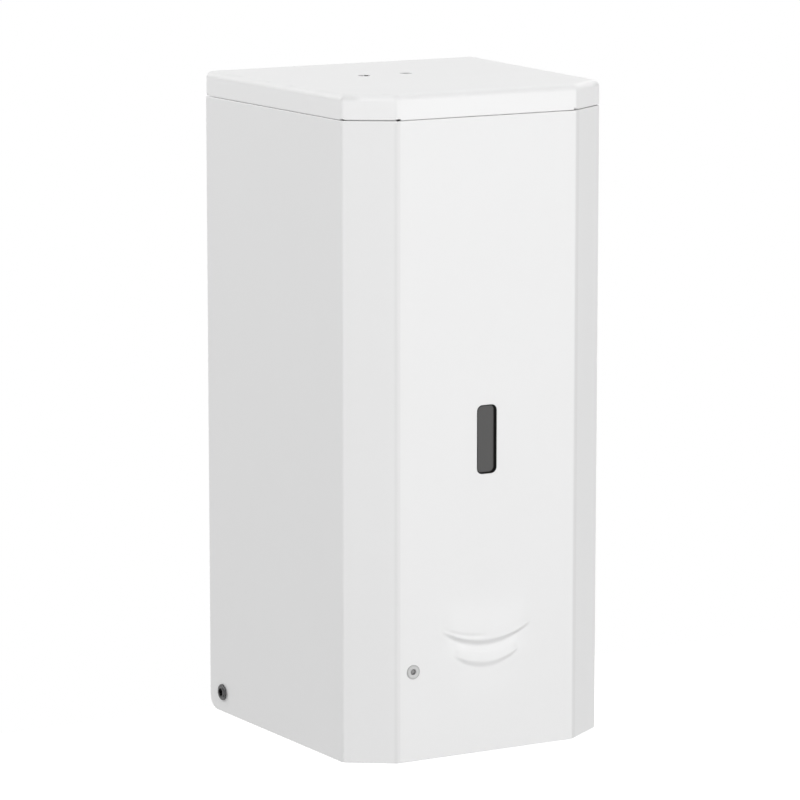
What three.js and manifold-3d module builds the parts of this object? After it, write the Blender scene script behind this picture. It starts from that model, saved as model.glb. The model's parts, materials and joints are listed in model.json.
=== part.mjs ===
// A wall-mounted automatic soap dispenser. A bent sheet casing hangs on a back plate and closes with a
// hinged lid. Inside are an open-topped tank, a geared roller pump, a hand sensor and a battery box with a
// drop-down door.
// Millimetres, +Z up. The wall is the plane y = 0 and the front looks towards -Y. The origin is the centre of
// the wall face, halfway up.
import * as THREE from 'three';
import { mergeVertices } from 'three/addons/utils/BufferGeometryUtils.js';
import Module from 'manifold-3d';

const wasm = await Module();
wasm.setup();

// ---- Driving dimensions ----
// Outer envelope. The plan is a box with splayed sides and two cut front corners.
const casingHeight = 268;
const lidHeight = 10.2;
const seamGap = 0.5;
const depth = 126.3;
const widthAtWall = 133;
const widthAtChamfer = 123;
const chamferWidth = 19.2;
const chamferDepth = 12.8;
const frontBendRadius = 2.5;
const sideBendRadius = 2;
const leastBendRadius = 0.4;
const rearStandOff = 1;
const sheet = 1.2;
const lowerCornerRadius = 7;

// Fits
const clearance = 0.3;
const runningFit = 0.06;
const seatGap = 0.1;
// How far a cut runs past the faces it goes through, and how deep joined pieces reach into each other.
const past = 1;
const weld = 0.5;

// Sides of the round pieces, from small pins to large rims. A pin and its bore have the same number.
const smallRound = 12;
const mediumRound = 16;
const largeRound = 24;
const rimRound = 40;

// Lid
const lidWall = 1.5;
const lidFillet = 3.5;
const lidFilletSteps = 4;
const lidExtraBend = 2;
const keyHoleDiameter = 4.7;
const keyHolePitch = 20;
const keyHoleX = -6.6;
const keyHoleY = -51;

// Window, indicator and stamped relief on the front
const windowWidth = 9.4;
const windowHeight = 29;
const windowCornerRadius = 2.5;
const windowAboveBottom = 133;
const gasketBorder = 3.5;
const gasketThickness = 0.6;
const paneBorder = 3;
const paneThickness = 2;
const retainerBorder = 4.5;
const retainerOpening = 1;
const indicatorFromCorner = 7.3;
const indicatorAboveBottom = 38.3;
const bezelDiameter = 6.4;
const bezelSleeveDiameter = 4.8;
const bezelSleeveBehind = 3;
const bezelRise = 0.4;
const lensDiameter = 2.9;
const lensRise = 0.2;
const lampBoardWidth = 14;
const lampBoardHeight = 18;
const reliefHeight = 1.2;
const reliefSteps = 8;
const upperReliefHalfWidth = 20.4;
const upperReliefAboveBottom = 52.6;
const upperReliefSag = 5.1;
const upperReliefRise = 4;
const lowerReliefHalfWidth = 14.3;
const lowerReliefAboveBottom = 41.8;
const lowerReliefSag = 3.6;
const lowerReliefRise = 3;

// Casing screws, one low on each side
const screwBack = 12.3;
const screwAboveBottom = 8.9;
const screwHeadDiameter = 7.6;
const screwHeadHeight = 1.8;
const screwDiameter = 4;
const screwLength = 9;
const socketAcross = 3;
const socketDepth = 1.4;
const nutAcross = 7;
const nutThickness = 3.2;

// Back plate
const plateThickness = 1.5;
const plateFlange = 20;
const plateTopDrop = 2.5;
const plateBottomLift = 1.5;
const wallHoleDiameter = 5.5;
const wallHolePitchX = 84;
const wallHolePitchZ = 170;

// Lid hinge
const hingePinRadius = 1;
const hingePinHead = 1;
const hingePinFlare = 0.8;
const hingePinTail = 1;
const hingeEyeRadius = 2.2;
const hingeEyeGap = 0.4;
const hingeEarWidth = 5;
const hingeBracketWidth = 3;
const hingeBracketDrop = 30;
const hingeInnerX = 36;

// Tank, its cover and the seal under the lid
const tankGap = 7.5;
const tankWall = 2;
const tankBack = 24;
const tankFloorAboveBottom = 97;
const tankTopDrop = 11;
const coverThickness = 2.5;
const coverOverhang = 5.5;
const mouthRadius = 24;
const mouthRimWidth = 3;
const mouthRimHeight = 3.5;
const mouthY = -64;
const spoutRadius = 5;
const spoutBore = 3.4;
const spoutLength = 9;
const sealThickness = 3;
const sealOverlapOut = 1;
const sealOverlapIn = 2;
const carrierThickness = 2.4;
const carrierMargin = 2;
const carrierPostRadius = 2.5;
const carrierPostPitch = 16;

// Latch
const latchWidth = 30;
const latchPlate = 2;
const latchTail = 7.7;
const latchTravel = 4;
const latchGuideWall = 1.2;
const latchLedge = 3;
const latchLegThickness = 2;
const latchLegInset = 1;
const latchNose = 3;
const latchNoseDrop = 5;
const latchPass = 1;
const keySeatShift = 1.5;
const catchWidth = 14;
const catchHeight = 20;
const catchDrop = 2;
const catchLip = 6;
const noseGapMargin = 2;
const latchSpringWire = 0.7;
const latchSpringLength = 15;
const latchSpringTurns = 7;

// Pump: hose ring, rollers and gears
const outletY = -90.5;
const hoseRadius = 3;
const hoseBore = 1.6;
const hoseBend = 12;
const hoseSteps = 40;
const hoseGap = 0.2;
const trackRadius = 15;
const pumpX = 16;
const pumpAboveBottom = 47.5;
const pumpWall = 2.6;
const pumpCoverThickness = 2.2;
const rollerRadius = 4;
const rollerPinRadius = 1.2;
const rollerCount = 3;
const rotorDisc = 1.5;
const rotorDiscRoom = 2.4;
const rotorDiscInset = 0.4;
const rotorShaftRadius = 2.5;
const rotorNoseRadius = 2;
const gearModule = 0.7;
const pressureAngle = 25 * Math.PI / 180;
const addendumShare = 0.85;
const dedendumShare = 1.1;
const backlash = 0.12;
const pinionTeeth = 12;
const idlerTeeth = 42;
const rotorTeeth = 36;
const slowGearWidth = 5;
const fastGearWidth = 4;
const gearGap = 0.6;
const idlerPinRadius = 1.5;
const idlerPinEnd = 0.2;
const idlerHubWall = 1.4;

// Pump bracket, motor and motor plate
const bracketThickness = 1.5;
const bracketMargin = 4;
const bracketBelow = 2;
const bracketFlange = 14;
const motorRadius = 12;
const motorLength = 27;
const motorShaftRadius = 1;
const motorShaftInside = 3;
const motorBossRadius = 3;
const motorPlateMargin = 5;
const standoffRadius = 2;
const standoffInset = 3;
const standoffGap = 0.6;

// Underside: panel, nozzle and hand sensor
const panelThickness = 3;
const panelLift = 5;
const panelInset = 0.6;
const collarHeight = 4;
const collarWall = 2;
const nozzleRadius = 3.4;
const nozzleBore = 1.3;
const nozzleTaper = 1.2;
const nozzleTipLift = 1;
const nozzleInside = 8;
const sensorWidth = 30;
const sensorDepth = 14;
const sensorHeight = 12;
const sensorY = -64;
const sensorPitch = 16;
const diodeRadius = 2.5;
const diodeLength = 7.5;
const diodeLift = 3;
const diodeSteps = 4;

// Batteries
const cellRadius = 7.1;
const cellLength = 50.5;
const cellButton = 1;
const cellButtonRadius = 2.7;
const cellCount = 4;
const cellPitch = 15.6;
const boxWall = 1.5;
const batteryY = -27;
const contactThickness = 0.8;
const contactInset = 1;
const leadHoleInset = 5;
const doorPinRadius = 0.9;
const doorPinLength = 2;
const doorMargin = 0.4;
const doorGripRadius = 6;
const doorGripDepth = 2.5;

// Board, switch and leads
const boardThickness = 1.6;
const boardFromSide = 15.5;
const boardDepth = 56;
const boardHeight = 60;
const boardLift = 6;
const boardBackGap = 10;
const chipSize = 12;
const chipThickness = 2;
const chipLift = 20;
const leadSocketDepth = 12;
const leadSocketWidth = 6;
const leadSocketHeight = 7;
const leadSocketDrop = 5;
const switchFromSide = 20.5;
const switchY = -40;
const switchTravel = 4;
const switchKnob = 4;
const switchKnobDepth = 3;
const switchKnobOut = 1;
const switchWall = 2;
const switchEnd = 4;
const switchHeight = 7;
const switchWell = 3.5;
const switchFoot = 1;
const leadRadius = 1.1;
const leadRun = 4;
const leadRise = 5;
const leadCrest = 7;
const leadBow = 3;
const motorLeadOut = 2.5;
const motorLeadRise = 14;
const motorLeadSwing = 26;
const motorLeadCrest = 20;

// ---- Levels and places worked out from the sizes ----
const totalHeight = casingHeight + seamGap + lidHeight;
const casingBottom = -totalHeight / 2;
const casingTop = casingBottom + casingHeight;
const lidBottom = casingTop + seamGap;
const lidTop = totalHeight / 2;
const lidUnder = lidTop - lidWall;
const frontY = -depth;
const innerFrontY = frontY + sheet;
// The hinge axis is as far from the wall as from the lid's top, so that the open lid stands beside the wall.
const hingeZ = lidUnder - hingeEyeGap - hingeEyeRadius;
const hingeY = -(lidTop - hingeZ) - hingeEyeGap;
const windowZ = casingBottom + windowAboveBottom;
const indicatorX = chamferWidth + indicatorFromCorner - widthAtChamfer / 2;
const indicatorZ = casingBottom + indicatorAboveBottom;
const screwY = -screwBack;
const screwZ = casingBottom + screwAboveBottom;
const plateTop = casingTop - plateTopDrop;
const plateBottom = casingBottom + plateBottomLift;
const tankFloor = casingBottom + tankFloorAboveBottom;
const tankTop = casingTop - tankTopDrop;
const spoutEnd = tankFloor - spoutLength;
const coverTop = tankTop + clearance + coverThickness;
const rimTop = coverTop + mouthRimHeight;
const sealBottom = rimTop + clearance;
const carrierBottom = sealBottom + sealThickness + clearance;
const carrierTop = carrierBottom + carrierThickness;
const shelfTop = tankFloor - clearance;
const shelfBottom = shelfTop - bracketThickness;
const pumpZ = casingBottom + pumpAboveBottom;
const panelBottom = casingBottom + panelLift;
const panelTop = panelBottom + panelThickness;
const insideFloor = panelTop + clearance;
const nozzleTop = panelTop + nozzleInside;
const latchTop = lidUnder - clearance - latchGuideWall - clearance;
const latchBottom = latchTop - latchPlate;

// ---- Materials ----
function finish(color, roughness, metalness, extra = {}) {
  return new THREE.MeshStandardMaterial({ color, roughness, metalness, ...extra });
}

const enamel = finish(0xf0f0f0, 0.35, 0);
const zincSteel = finish(0xb4b6b8, 0.4, 0.9);
const screwSteel = finish(0x6e6e70, 0.35, 0.9);
const blackRubber = finish(0x161616, 0.7, 0);
const smokedPlastic = finish(0x5c5c5a, 0.2, 0);
const whitePlastic = finish(0xe6e6e2, 0.45, 0);
const greyPlastic = finish(0x8a8c8e, 0.5, 0);
const blackPlastic = finish(0x1d1d1f, 0.45, 0);
const tankPlastic = finish(0xe8ebe9, 0.4, 0, { transparent: true, opacity: 0.6 });
const silicone = finish(0xdedbd2, 0.5, 0, { transparent: true, opacity: 0.8 });
const gearPlastic = finish(0xefe9d8, 0.45, 0);
const redInsulation = finish(0xa62b22, 0.5, 0);
const boardGreen = finish(0x1f5a3a, 0.5, 0);
const cellWrap = finish(0x3f4a55, 0.35, 0.3);

// ---- Solids ----
function solidFrom(vertProperties, triVerts) {
  return new wasm.Manifold(new wasm.Mesh({ numProp: 3, vertProperties, triVerts }));
}

// A closed three.js geometry becomes a solid that can be joined and cut.
function solid(geometry) {
  const bare = geometry.index ? geometry.toNonIndexed() : geometry.clone();
  for (const name of Object.keys(bare.attributes)) {
    if (name !== 'position') {
      bare.deleteAttribute(name);
    }
  }
  const merged = mergeVertices(bare, 1e-4);
  return solidFrom(new Float32Array(merged.attributes.position.array), new Uint32Array(merged.index.array));
}

function join(...pieces) {
  return pieces.reduce((whole, piece) => whole.add(piece));
}

function cut(whole, ...tools) {
  return tools.reduce((rest, tool) => rest.subtract(tool), whole);
}

// A solid mirrored in the middle plane. Its triangles are listed backwards, so that they still face out.
function mirrored(piece) {
  const mesh = piece.getMesh();
  const places = Float32Array.from(mesh.vertProperties, (value, i) => (i % 3 === 0 ? -value : value));
  return solidFrom(places, Uint32Array.from(mesh.triVerts).reverse());
}

const sides = { left: -1, right: 1 };

// A piece made for the right-hand side, mirrored for the left.
function bySide(side, piece) {
  return side > 0 ? piece : mirrored(piece);
}

function onBothSides(piece) {
  return Object.values(sides).map((side) => bySide(side, piece));
}

function block(x0, x1, y0, y1, z0, z1) {
  const geometry = new THREE.BoxGeometry(x1 - x0, y1 - y0, z1 - z0);
  geometry.translate((x0 + x1) / 2, (y0 + y1) / 2, (z0 + z1) / 2);
  return solid(geometry);
}

// Turns that lay a shape drawn in its own XY plane, and grown along its own Z, onto the part's planes.
const growUp = new THREE.Matrix4();
const growRight = new THREE.Matrix4().makeBasis(
  new THREE.Vector3(0, 1, 0), new THREE.Vector3(0, 0, 1), new THREE.Vector3(1, 0, 0));
const growForward = new THREE.Matrix4().makeBasis(
  new THREE.Vector3(1, 0, 0), new THREE.Vector3(0, 0, 1), new THREE.Vector3(0, -1, 0));

// A shape grown by length from the level start: up in Z, right in X, or forward in -Y.
function grow(shape, turn, start, length, curveSegments = 3) {
  const geometry = new THREE.ExtrudeGeometry(shape, { depth: length, bevelEnabled: false, curveSegments });
  geometry.translate(0, 0, start);
  geometry.applyMatrix4(turn);
  return solid(geometry);
}

// The same, as a cut through everything from y0 to y1.
function growThroughY(shape, y0, y1, curveSegments) {
  return grow(shape, growForward, -y1 - past, y1 - y0 + 2 * past, curveSegments);
}

function circle(u, v, radius) {
  const shape = new THREE.Shape();
  shape.absarc(u, v, radius, 0, 2 * Math.PI, false);
  return shape;
}

// Round bars along each axis.
function rodX(x0, x1, y, z, radius, round = largeRound) {
  return grow(circle(y, z, radius), growRight, x0, x1 - x0, round / 2);
}

function rodY(y0, y1, x, z, radius, round = largeRound) {
  return grow(circle(x, z, radius), growForward, -y1, y1 - y0, round / 2);
}

function rodZ(z0, z1, x, y, radius, round = largeRound) {
  return grow(circle(x, y, radius), growUp, z0, z1 - z0, round / 2);
}

// Tools for round holes, which run past both ends of the material they go through.
function boreX(x0, x1, y, z, radius, round = largeRound) {
  return rodX(x0 - past, x1 + past, y, z, radius, round);
}

function boreY(y0, y1, x, z, radius, round = largeRound) {
  return rodY(y0 - past, y1 + past, x, z, radius, round);
}

function boreZ(z0, z1, x, y, radius, round = largeRound) {
  return rodZ(z0 - past, z1 + past, x, y, radius, round);
}

// A polygon whose corners are rounded by arcs. Points run anticlockwise as [u, v, radius].
function roundedShape(points) {
  const shape = new THREE.Shape();
  const count = points.length;
  points.forEach(([u, v, radius = 0], i) => {
    const [pu, pv] = points[(i + count - 1) % count];
    const [nu, nv] = points[(i + 1) % count];
    const inward = new THREE.Vector2(u - pu, v - pv).normalize();
    const outward = new THREE.Vector2(nu - u, nv - v).normalize();
    const reach = radius * Math.tan(inward.angleTo(outward) / 2);
    const left = inward.x * outward.y - inward.y * outward.x > 0;
    const side = left ? 1 : -1;
    const start = new THREE.Vector2(u, v).addScaledVector(inward, -reach);
    if (i === 0) {
      shape.moveTo(start.x, start.y);
    } else {
      shape.lineTo(start.x, start.y);
    }
    if (reach > 0) {
      const end = new THREE.Vector2(u, v).addScaledVector(outward, reach);
      const toCentre = new THREE.Vector2(-inward.y, inward.x).multiplyScalar(radius * side);
      const centre = start.clone().add(toCentre);
      const from = Math.atan2(start.y - centre.y, start.x - centre.x);
      const to = Math.atan2(end.y - centre.y, end.x - centre.x);
      shape.absarc(centre.x, centre.y, radius, from, to, !left);
    }
  });
  shape.closePath();
  return shape;
}

function rectangle(u0, u1, v0, v1, radius = 0) {
  return roundedShape([[u0, v0, radius], [u1, v0, radius], [u1, v1, radius], [u0, v1, radius]]);
}

function hexagon(u, v, across) {
  const radius = across / Math.sqrt(3);
  const corners = Array.from({ length: 6 }, (_, i) => {
    const angle = Math.PI / 3 * i;
    return new THREE.Vector2(u + radius * Math.cos(angle), v + radius * Math.sin(angle));
  });
  return new THREE.Shape(corners);
}

// ---- Plan of the casing ----
// Half the outer width of the splayed side at a distance behind the front of the side.
const sideDepth = depth - chamferDepth;
const sideSlope = (widthAtWall - widthAtChamfer) / 2 / sideDepth;
const sideNormal = Math.hypot(1, sideSlope);

function sideX(y, inset) {
  return widthAtChamfer / 2 + sideSlope * (y + sideDepth) - inset * sideNormal;
}

// The plan inset all round by one distance and ending at backY. Corner radii shrink with the inset.
function planShape(inset, backY, extraRadius = 0) {
  const run = Math.hypot(chamferWidth, chamferDepth);
  const frontLine = frontY + inset;
  // The chamfer passes through the two outer corners, moved inwards along its normal.
  const chamferX = (y) => widthAtChamfer / 2 - chamferWidth * (-sideDepth - y) / chamferDepth
    - inset * run / chamferDepth;
  const frontCorner = chamferX(frontLine);
  // The side line and the chamfer line cross here.
  const slopeChamfer = chamferWidth / chamferDepth;
  const cornerY = (sideX(0, inset) - chamferX(0)) / (slopeChamfer - sideSlope);
  const corner = sideX(cornerY, inset);
  const sideBend = Math.max(sideBendRadius + extraRadius - inset, leastBendRadius);
  const frontBend = Math.max(frontBendRadius + extraRadius - inset, leastBendRadius);
  const backX = sideX(backY, inset);
  return roundedShape([
    [-backX, backY], [-corner, cornerY, sideBend], [-frontCorner, frontLine, frontBend],
    [frontCorner, frontLine, frontBend], [corner, cornerY, sideBend], [backX, backY],
  ]);
}

// ---- Scene ----
const dispenser = new THREE.Group();

// A group with its origin at a place on the part. Turned or slid there, it carries its pieces as the joint
// does.
function jointAt(x, y, z, parent = dispenser) {
  const group = new THREE.Group();
  group.position.set(x, y, z).sub(parent.getWorldPosition(new THREE.Vector3()));
  parent.add(group);
  return group;
}

// A solid drawn in the part's frame becomes a named mesh about the origin of its group.
function addPart(name, piece, material, parent = dispenser) {
  const mesh = piece.getMesh();
  const place = parent.getWorldPosition(new THREE.Vector3());
  const geometry = new THREE.BufferGeometry();
  geometry.setAttribute('position', new THREE.BufferAttribute(new Float32Array(mesh.vertProperties), 3));
  geometry.setIndex(new THREE.BufferAttribute(new Uint32Array(mesh.triVerts), 1));
  geometry.translate(-place.x, -place.y, -place.z);
  geometry.computeVertexNormals();
  const part = new THREE.Mesh(geometry, material);
  part.name = name;
  parent.add(part);
}

// ---- Casing ----
// One bent sheet, open above, below and behind, with the lower rear corners rounded.
function frontCasing() {
  const outer = grow(planShape(0, -rearStandOff), growUp, casingBottom, casingHeight);
  const inner = grow(planShape(sheet, past), growUp, casingBottom - past, casingHeight + 2 * past);
  const frontEdge = frontY - reliefHeight - past;
  const keep = roundedShape([
    [-rearStandOff, casingBottom, lowerCornerRadius], [-rearStandOff, casingTop],
    [frontEdge, casingTop], [frontEdge, casingBottom],
  ]);
  const sideTrim = grow(keep, growRight, -widthAtWall, 2 * widthAtWall);
  const slot = growThroughY(windowOutline(0), frontY, innerFrontY);
  const bezelHole = boreY(frontY, innerFrontY, indicatorX, indicatorZ, bezelSleeveDiameter / 2 + runningFit,
    mediumRound);
  const screwHoles = rodX(-widthAtWall, widthAtWall, screwY, screwZ, screwDiameter / 2 + clearance,
    mediumRound);
  const upperRelief = reliefRidge(upperReliefHalfWidth, upperReliefAboveBottom, upperReliefSag,
    upperReliefRise);
  const lowerRelief = reliefRidge(lowerReliefHalfWidth, lowerReliefAboveBottom, lowerReliefSag,
    lowerReliefRise);
  const shell = join(cut(outer, inner), upperRelief, lowerRelief).intersect(sideTrim);
  return cut(shell, slot, bezelHole, screwHoles);
}

// A stamped crescent: a flat band that sags in the middle, standing proud of the front face.
function reliefRidge(halfWidth, endAboveBottom, sag, rise) {
  const endZ = casingBottom + endAboveBottom;
  const shape = new THREE.Shape();
  shape.moveTo(-halfWidth, endZ);
  shape.quadraticCurveTo(0, endZ - 2 * sag, halfWidth, endZ);
  shape.quadraticCurveTo(0, endZ + 2 * (rise - sag), -halfWidth, endZ);
  return grow(shape, growForward, -frontY - sheet / 2, reliefHeight + sheet / 2, reliefSteps);
}

// The window's outline, grown by a border all round.
function windowOutline(border) {
  return rectangle(-windowWidth / 2 - border, windowWidth / 2 + border, windowZ - windowHeight / 2 - border,
    windowZ + windowHeight / 2 + border, windowCornerRadius);
}

addPart('front_casing', frontCasing(), enamel);

// ---- Back plate ----
// A pan of sheet steel: its flat back lies on the wall and its side flanges carry the casing screws.
const flangeOuter = sideX(-plateFlange, sheet) - clearance;

function backPlate() {
  const back = block(-flangeOuter, flangeOuter, -plateThickness, 0, plateBottom, plateTop);
  const flanges = onBothSides(block(flangeOuter - plateThickness, flangeOuter, -plateFlange,
    -plateThickness / 2, plateBottom, plateTop));
  const holes = [];
  for (const x of [-wallHolePitchX / 2, wallHolePitchX / 2]) {
    for (const z of [-wallHolePitchZ / 2, wallHolePitchZ / 2]) {
      holes.push(boreY(-plateThickness, 0, x, z, wallHoleDiameter / 2, mediumRound));
    }
  }
  const screwHoles = boreX(-flangeOuter, flangeOuter, screwY, screwZ, screwDiameter / 2 + clearance,
    mediumRound);
  return cut(join(back, ...flanges), ...holes, screwHoles);
}

addPart('back_plate', backPlate(), zincSteel);

// ---- Casing screws and their nuts ----
// The head stands on the highest point of the splayed side under it.
const screwSeatX = sideX(screwY, 0) + screwHeadDiameter / 2 * sideSlope + seatGap;
const screwTopX = screwSeatX + screwHeadHeight;
const screwEndX = screwSeatX - screwLength;

function casingScrew() {
  const head = rodX(screwSeatX, screwTopX, screwY, screwZ, screwHeadDiameter / 2);
  const shank = rodX(screwEndX, screwSeatX + weld, screwY, screwZ, screwDiameter / 2, mediumRound);
  const socket = grow(hexagon(screwY, screwZ, socketAcross), growRight, screwTopX - socketDepth,
    socketDepth + past);
  return cut(join(head, shank), socket);
}

function casingNut() {
  const outerX = flangeOuter - plateThickness - clearance;
  const innerX = outerX - nutThickness;
  const body = grow(hexagon(screwY, screwZ, nutAcross), growRight, innerX, nutThickness);
  return cut(body, boreX(innerX, outerX, screwY, screwZ, screwDiameter / 2 + runningFit, mediumRound));
}

for (const [name, side] of Object.entries(sides)) {
  addPart(`side_screw_${name}`, bySide(side, casingScrew()), screwSteel);
  addPart(`side_nut_${name}`, bySide(side, casingNut()), zincSteel);
}

// ---- Level window ----
function windowPlate(border, y0, thickness) {
  return grow(windowOutline(border), growForward, -y0 - thickness, thickness);
}

function windowFrame(border, opening, y0, thickness) {
  return cut(windowPlate(border, y0, thickness), growThroughY(windowOutline(opening), y0, y0 + thickness));
}

const gasketFront = innerFrontY + clearance;
const paneFront = gasketFront + gasketThickness + clearance;
const retainerFront = paneFront + paneThickness + clearance;
addPart('window_gasket', windowFrame(gasketBorder, 0, gasketFront, gasketThickness), blackRubber);
addPart('window_pane', windowPlate(paneBorder, paneFront, paneThickness), smokedPlastic);
addPart('window_retainer', windowFrame(retainerBorder, retainerOpening, retainerFront, sheet), zincSteel);

// ---- Indicator ----
// A stepped bezel pushed through the front, with a lens in its bore and a small lamp board behind.
const sleeveEnd = innerFrontY + bezelSleeveBehind;

function indicatorBezel() {
  const flange = rodY(frontY - bezelRise, frontY - seatGap, indicatorX, indicatorZ, bezelDiameter / 2);
  const sleeve = rodY(frontY - bezelRise / 2, sleeveEnd, indicatorX, indicatorZ, bezelSleeveDiameter / 2,
    mediumRound);
  const bore = boreY(frontY - bezelRise, sleeveEnd, indicatorX, indicatorZ, lensDiameter / 2 + runningFit,
    mediumRound);
  return cut(join(flange, sleeve), bore);
}

addPart('indicator_bezel', indicatorBezel(), greyPlastic);
addPart('indicator_lens', rodY(frontY - lensRise, sleeveEnd, indicatorX, indicatorZ, lensDiameter / 2,
  mediumRound), smokedPlastic);
const lampBoardY = sleeveEnd + clearance;
addPart('indicator_board', block(indicatorX - lampBoardWidth / 2, indicatorX + lampBoardWidth / 2,
  lampBoardY, lampBoardY + boardThickness, indicatorZ - lampBoardHeight / 2,
  indicatorZ + lampBoardHeight / 2), boardGreen);

// ---- Lid ----
// A shallow pressed cover whose hinge ears hang from its underside. The top edge is rounded, and its corners
// are rounder than the casing's.
const lidSweep = hingeZ - casingTop - clearance;
const bracketX0 = hingeInnerX + hingeEarWidth + clearance;
const bracketX1 = bracketX0 + hingeBracketWidth;
const keyHoleXs = [keyHoleX - keyHolePitch / 2, keyHoleX + keyHolePitch / 2];
const lidJoint = jointAt(0, hingeY, hingeZ);

function roundedLidBlock() {
  const geometry = new THREE.ExtrudeGeometry(planShape(0, -rearStandOff, lidExtraBend), {
    depth: lidHeight, bevelEnabled: true, bevelThickness: lidFillet, bevelSize: lidFillet,
    bevelOffset: -lidFillet, bevelSegments: lidFilletSteps, curveSegments: 3,
  });
  geometry.translate(0, 0, lidTop - lidFillet - lidHeight);
  return solid(geometry);
}

function lidShell() {
  const reach = widthAtWall;
  const low = lidBottom - 2 * lidHeight;
  const below = block(-reach, reach, -2 * depth, depth, low, lidBottom);
  const hollow = grow(planShape(lidWall, -rearStandOff - lidWall, lidExtraBend), growUp, lidBottom - past,
    lidUnder - lidBottom + past);
  // Behind the hinge axis the skirt is trimmed to a circle about the axis, so it turns clear of the casing.
  const behind = block(-reach, reach, hingeY, depth, low, hingeZ);
  const swept = boreX(-reach, reach, hingeY, hingeZ, lidSweep, rimRound);
  const shell = cut(roundedLidBlock(), below, hollow, cut(behind, swept));
  const ears = onBothSides(block(hingeInnerX, hingeInnerX + hingeEarWidth, hingeY - hingeEyeRadius,
    hingeY + hingeEyeRadius, hingeZ - hingeEyeRadius, lidUnder + weld));
  const notches = onBothSides(block(bracketX0 - clearance, bracketX1 + clearance, hingeY - hingeEyeRadius,
    depth, lidBottom - past, lidUnder));
  const pinHoles = onBothSides(boreX(hingeInnerX, hingeInnerX + hingeEarWidth, hingeY, hingeZ,
    hingePinRadius + runningFit, mediumRound));
  const keyHoles = keyHoleXs.map((x) => boreZ(lidUnder, lidTop, x, keyHoleY, keyHoleDiameter / 2));
  return cut(join(shell, ...ears), ...notches, ...pinHoles, ...keyHoles);
}

addPart('lid', lidShell(), enamel, lidJoint);

function hingePin() {
  const headTop = hingeInnerX - clearance;
  const shank = rodX(headTop, bracketX1 + hingePinTail, hingeY, hingeZ, hingePinRadius, mediumRound);
  const head = rodX(headTop - hingePinHead, headTop, hingeY, hingeZ, hingePinRadius + hingePinFlare,
    mediumRound);
  return join(shank, head);
}

// An upright plate on the back plate, ending in an eye for the hinge pin.
function hingeBracket() {
  const radius = hingeEyeRadius;
  const nearlyHalfRound = 0.98 * radius;
  const foot = -plateThickness - clearance;
  const low = casingTop - hingeBracketDrop;
  const shape = roundedShape([
    [hingeY - radius, low], [foot, low], [foot, plateTop - radius], [hingeY + radius, plateTop],
    [hingeY + radius, hingeZ + radius, nearlyHalfRound], [hingeY - radius, hingeZ + radius, nearlyHalfRound],
  ]);
  const plate = grow(shape, growRight, bracketX0, hingeBracketWidth);
  return cut(plate, boreX(bracketX0, bracketX1, hingeY, hingeZ, hingePinRadius + runningFit, mediumRound));
}

for (const [name, side] of Object.entries(sides)) {
  addPart(`hinge_pin_${name}`, bySide(side, hingePin()), zincSteel, lidJoint);
  addPart(`hinge_bracket_${name}`, bySide(side, hingeBracket()), zincSteel);
}

// ---- Soap tank ----
// An open tub whose plan follows the casing, on a shelf, with a spout through the shelf.
function tankPlan(inset) {
  return planShape(sheet + tankGap + inset, -tankBack - inset, sheet + tankGap);
}

function soapTank() {
  const outer = grow(tankPlan(0), growUp, tankFloor, tankTop - tankFloor);
  const inner = grow(tankPlan(tankWall), growUp, tankFloor + tankWall, tankTop - tankFloor);
  const spout = rodZ(spoutEnd, tankFloor + tankWall / 2, 0, outletY, spoutRadius);
  const bore = boreZ(spoutEnd, tankFloor + tankWall, 0, outletY, spoutBore, mediumRound);
  return cut(join(cut(outer, inner), spout), bore);
}

// ---- Latch ----
// A plate that slides under the lid in a channel. Its leg reaches down to a nose behind the catch on the
// casing.
const latchX0 = keyHoleX - latchWidth / 2;
const latchX1 = keyHoleX + latchWidth / 2;
const catchX0 = keyHoleX - catchWidth / 2;
const catchX1 = keyHoleX + catchWidth / 2;
const catchFront = innerFrontY + clearance;
const catchBack = catchFront + sheet + catchLip;
const catchTop = casingTop - catchDrop;
// The nose swings forwards as the lid lifts it, so it passes the lip with room to spare.
const latchNoseFront = catchBack + latchPass;
const latchLegFront = latchNoseFront + latchNose;
const latchLegBottom = catchTop - latchNoseDrop;
const latchRear = keyHoleY + latchTail;
const springFront = latchRear + clearance;
const guideFront = latchLegFront + latchLegThickness + latchTravel;
const guideRear = springFront + latchSpringLength + clearance;
const latchJoint = jointAt(keyHoleX, latchRear, latchTop, lidJoint);

// The tank's cover, with a round mouth to fill it through and a gap in front for the latch's nose.
function tankCover() {
  const plate = grow(tankPlan(-coverOverhang), growUp, tankTop + clearance, coverThickness);
  const rim = rodZ(coverTop - weld, rimTop, 0, mouthY, mouthRadius + mouthRimWidth, rimRound);
  const mouth = boreZ(tankTop, rimTop, 0, mouthY, mouthRadius, rimRound);
  const noseGap = block(catchX0 - noseGapMargin, catchX1 + noseGapMargin, -2 * depth, catchBack + past,
    tankTop - past, rimTop);
  return cut(join(plate, rim), mouth, noseGap);
}

function latchCatch() {
  const upright = block(catchX0, catchX1, catchFront, catchFront + sheet, catchTop - catchHeight, catchTop);
  const lip = block(catchX0, catchX1, catchFront, catchBack, catchTop - sheet, catchTop);
  return join(upright, lip);
}

function latchSlider() {
  const legX0 = catchX0 + latchLegInset;
  const legX1 = catchX1 - latchLegInset;
  const plate = block(latchX0, latchX1, latchLegFront, latchRear, latchBottom, latchTop);
  const leg = block(legX0, legX1, latchLegFront, latchLegFront + latchLegThickness, latchLegBottom, latchTop);
  const nose = block(legX0, legX1, latchNoseFront, latchLegFront + weld, latchLegBottom,
    latchLegBottom + latchNose);
  const keySeats = keyHoleXs.map((x) => boreZ(latchBottom, latchTop, x, keyHoleY + keySeatShift,
    keyHoleDiameter / 2));
  return cut(join(plate, leg, nose), ...keySeats);
}

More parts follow.
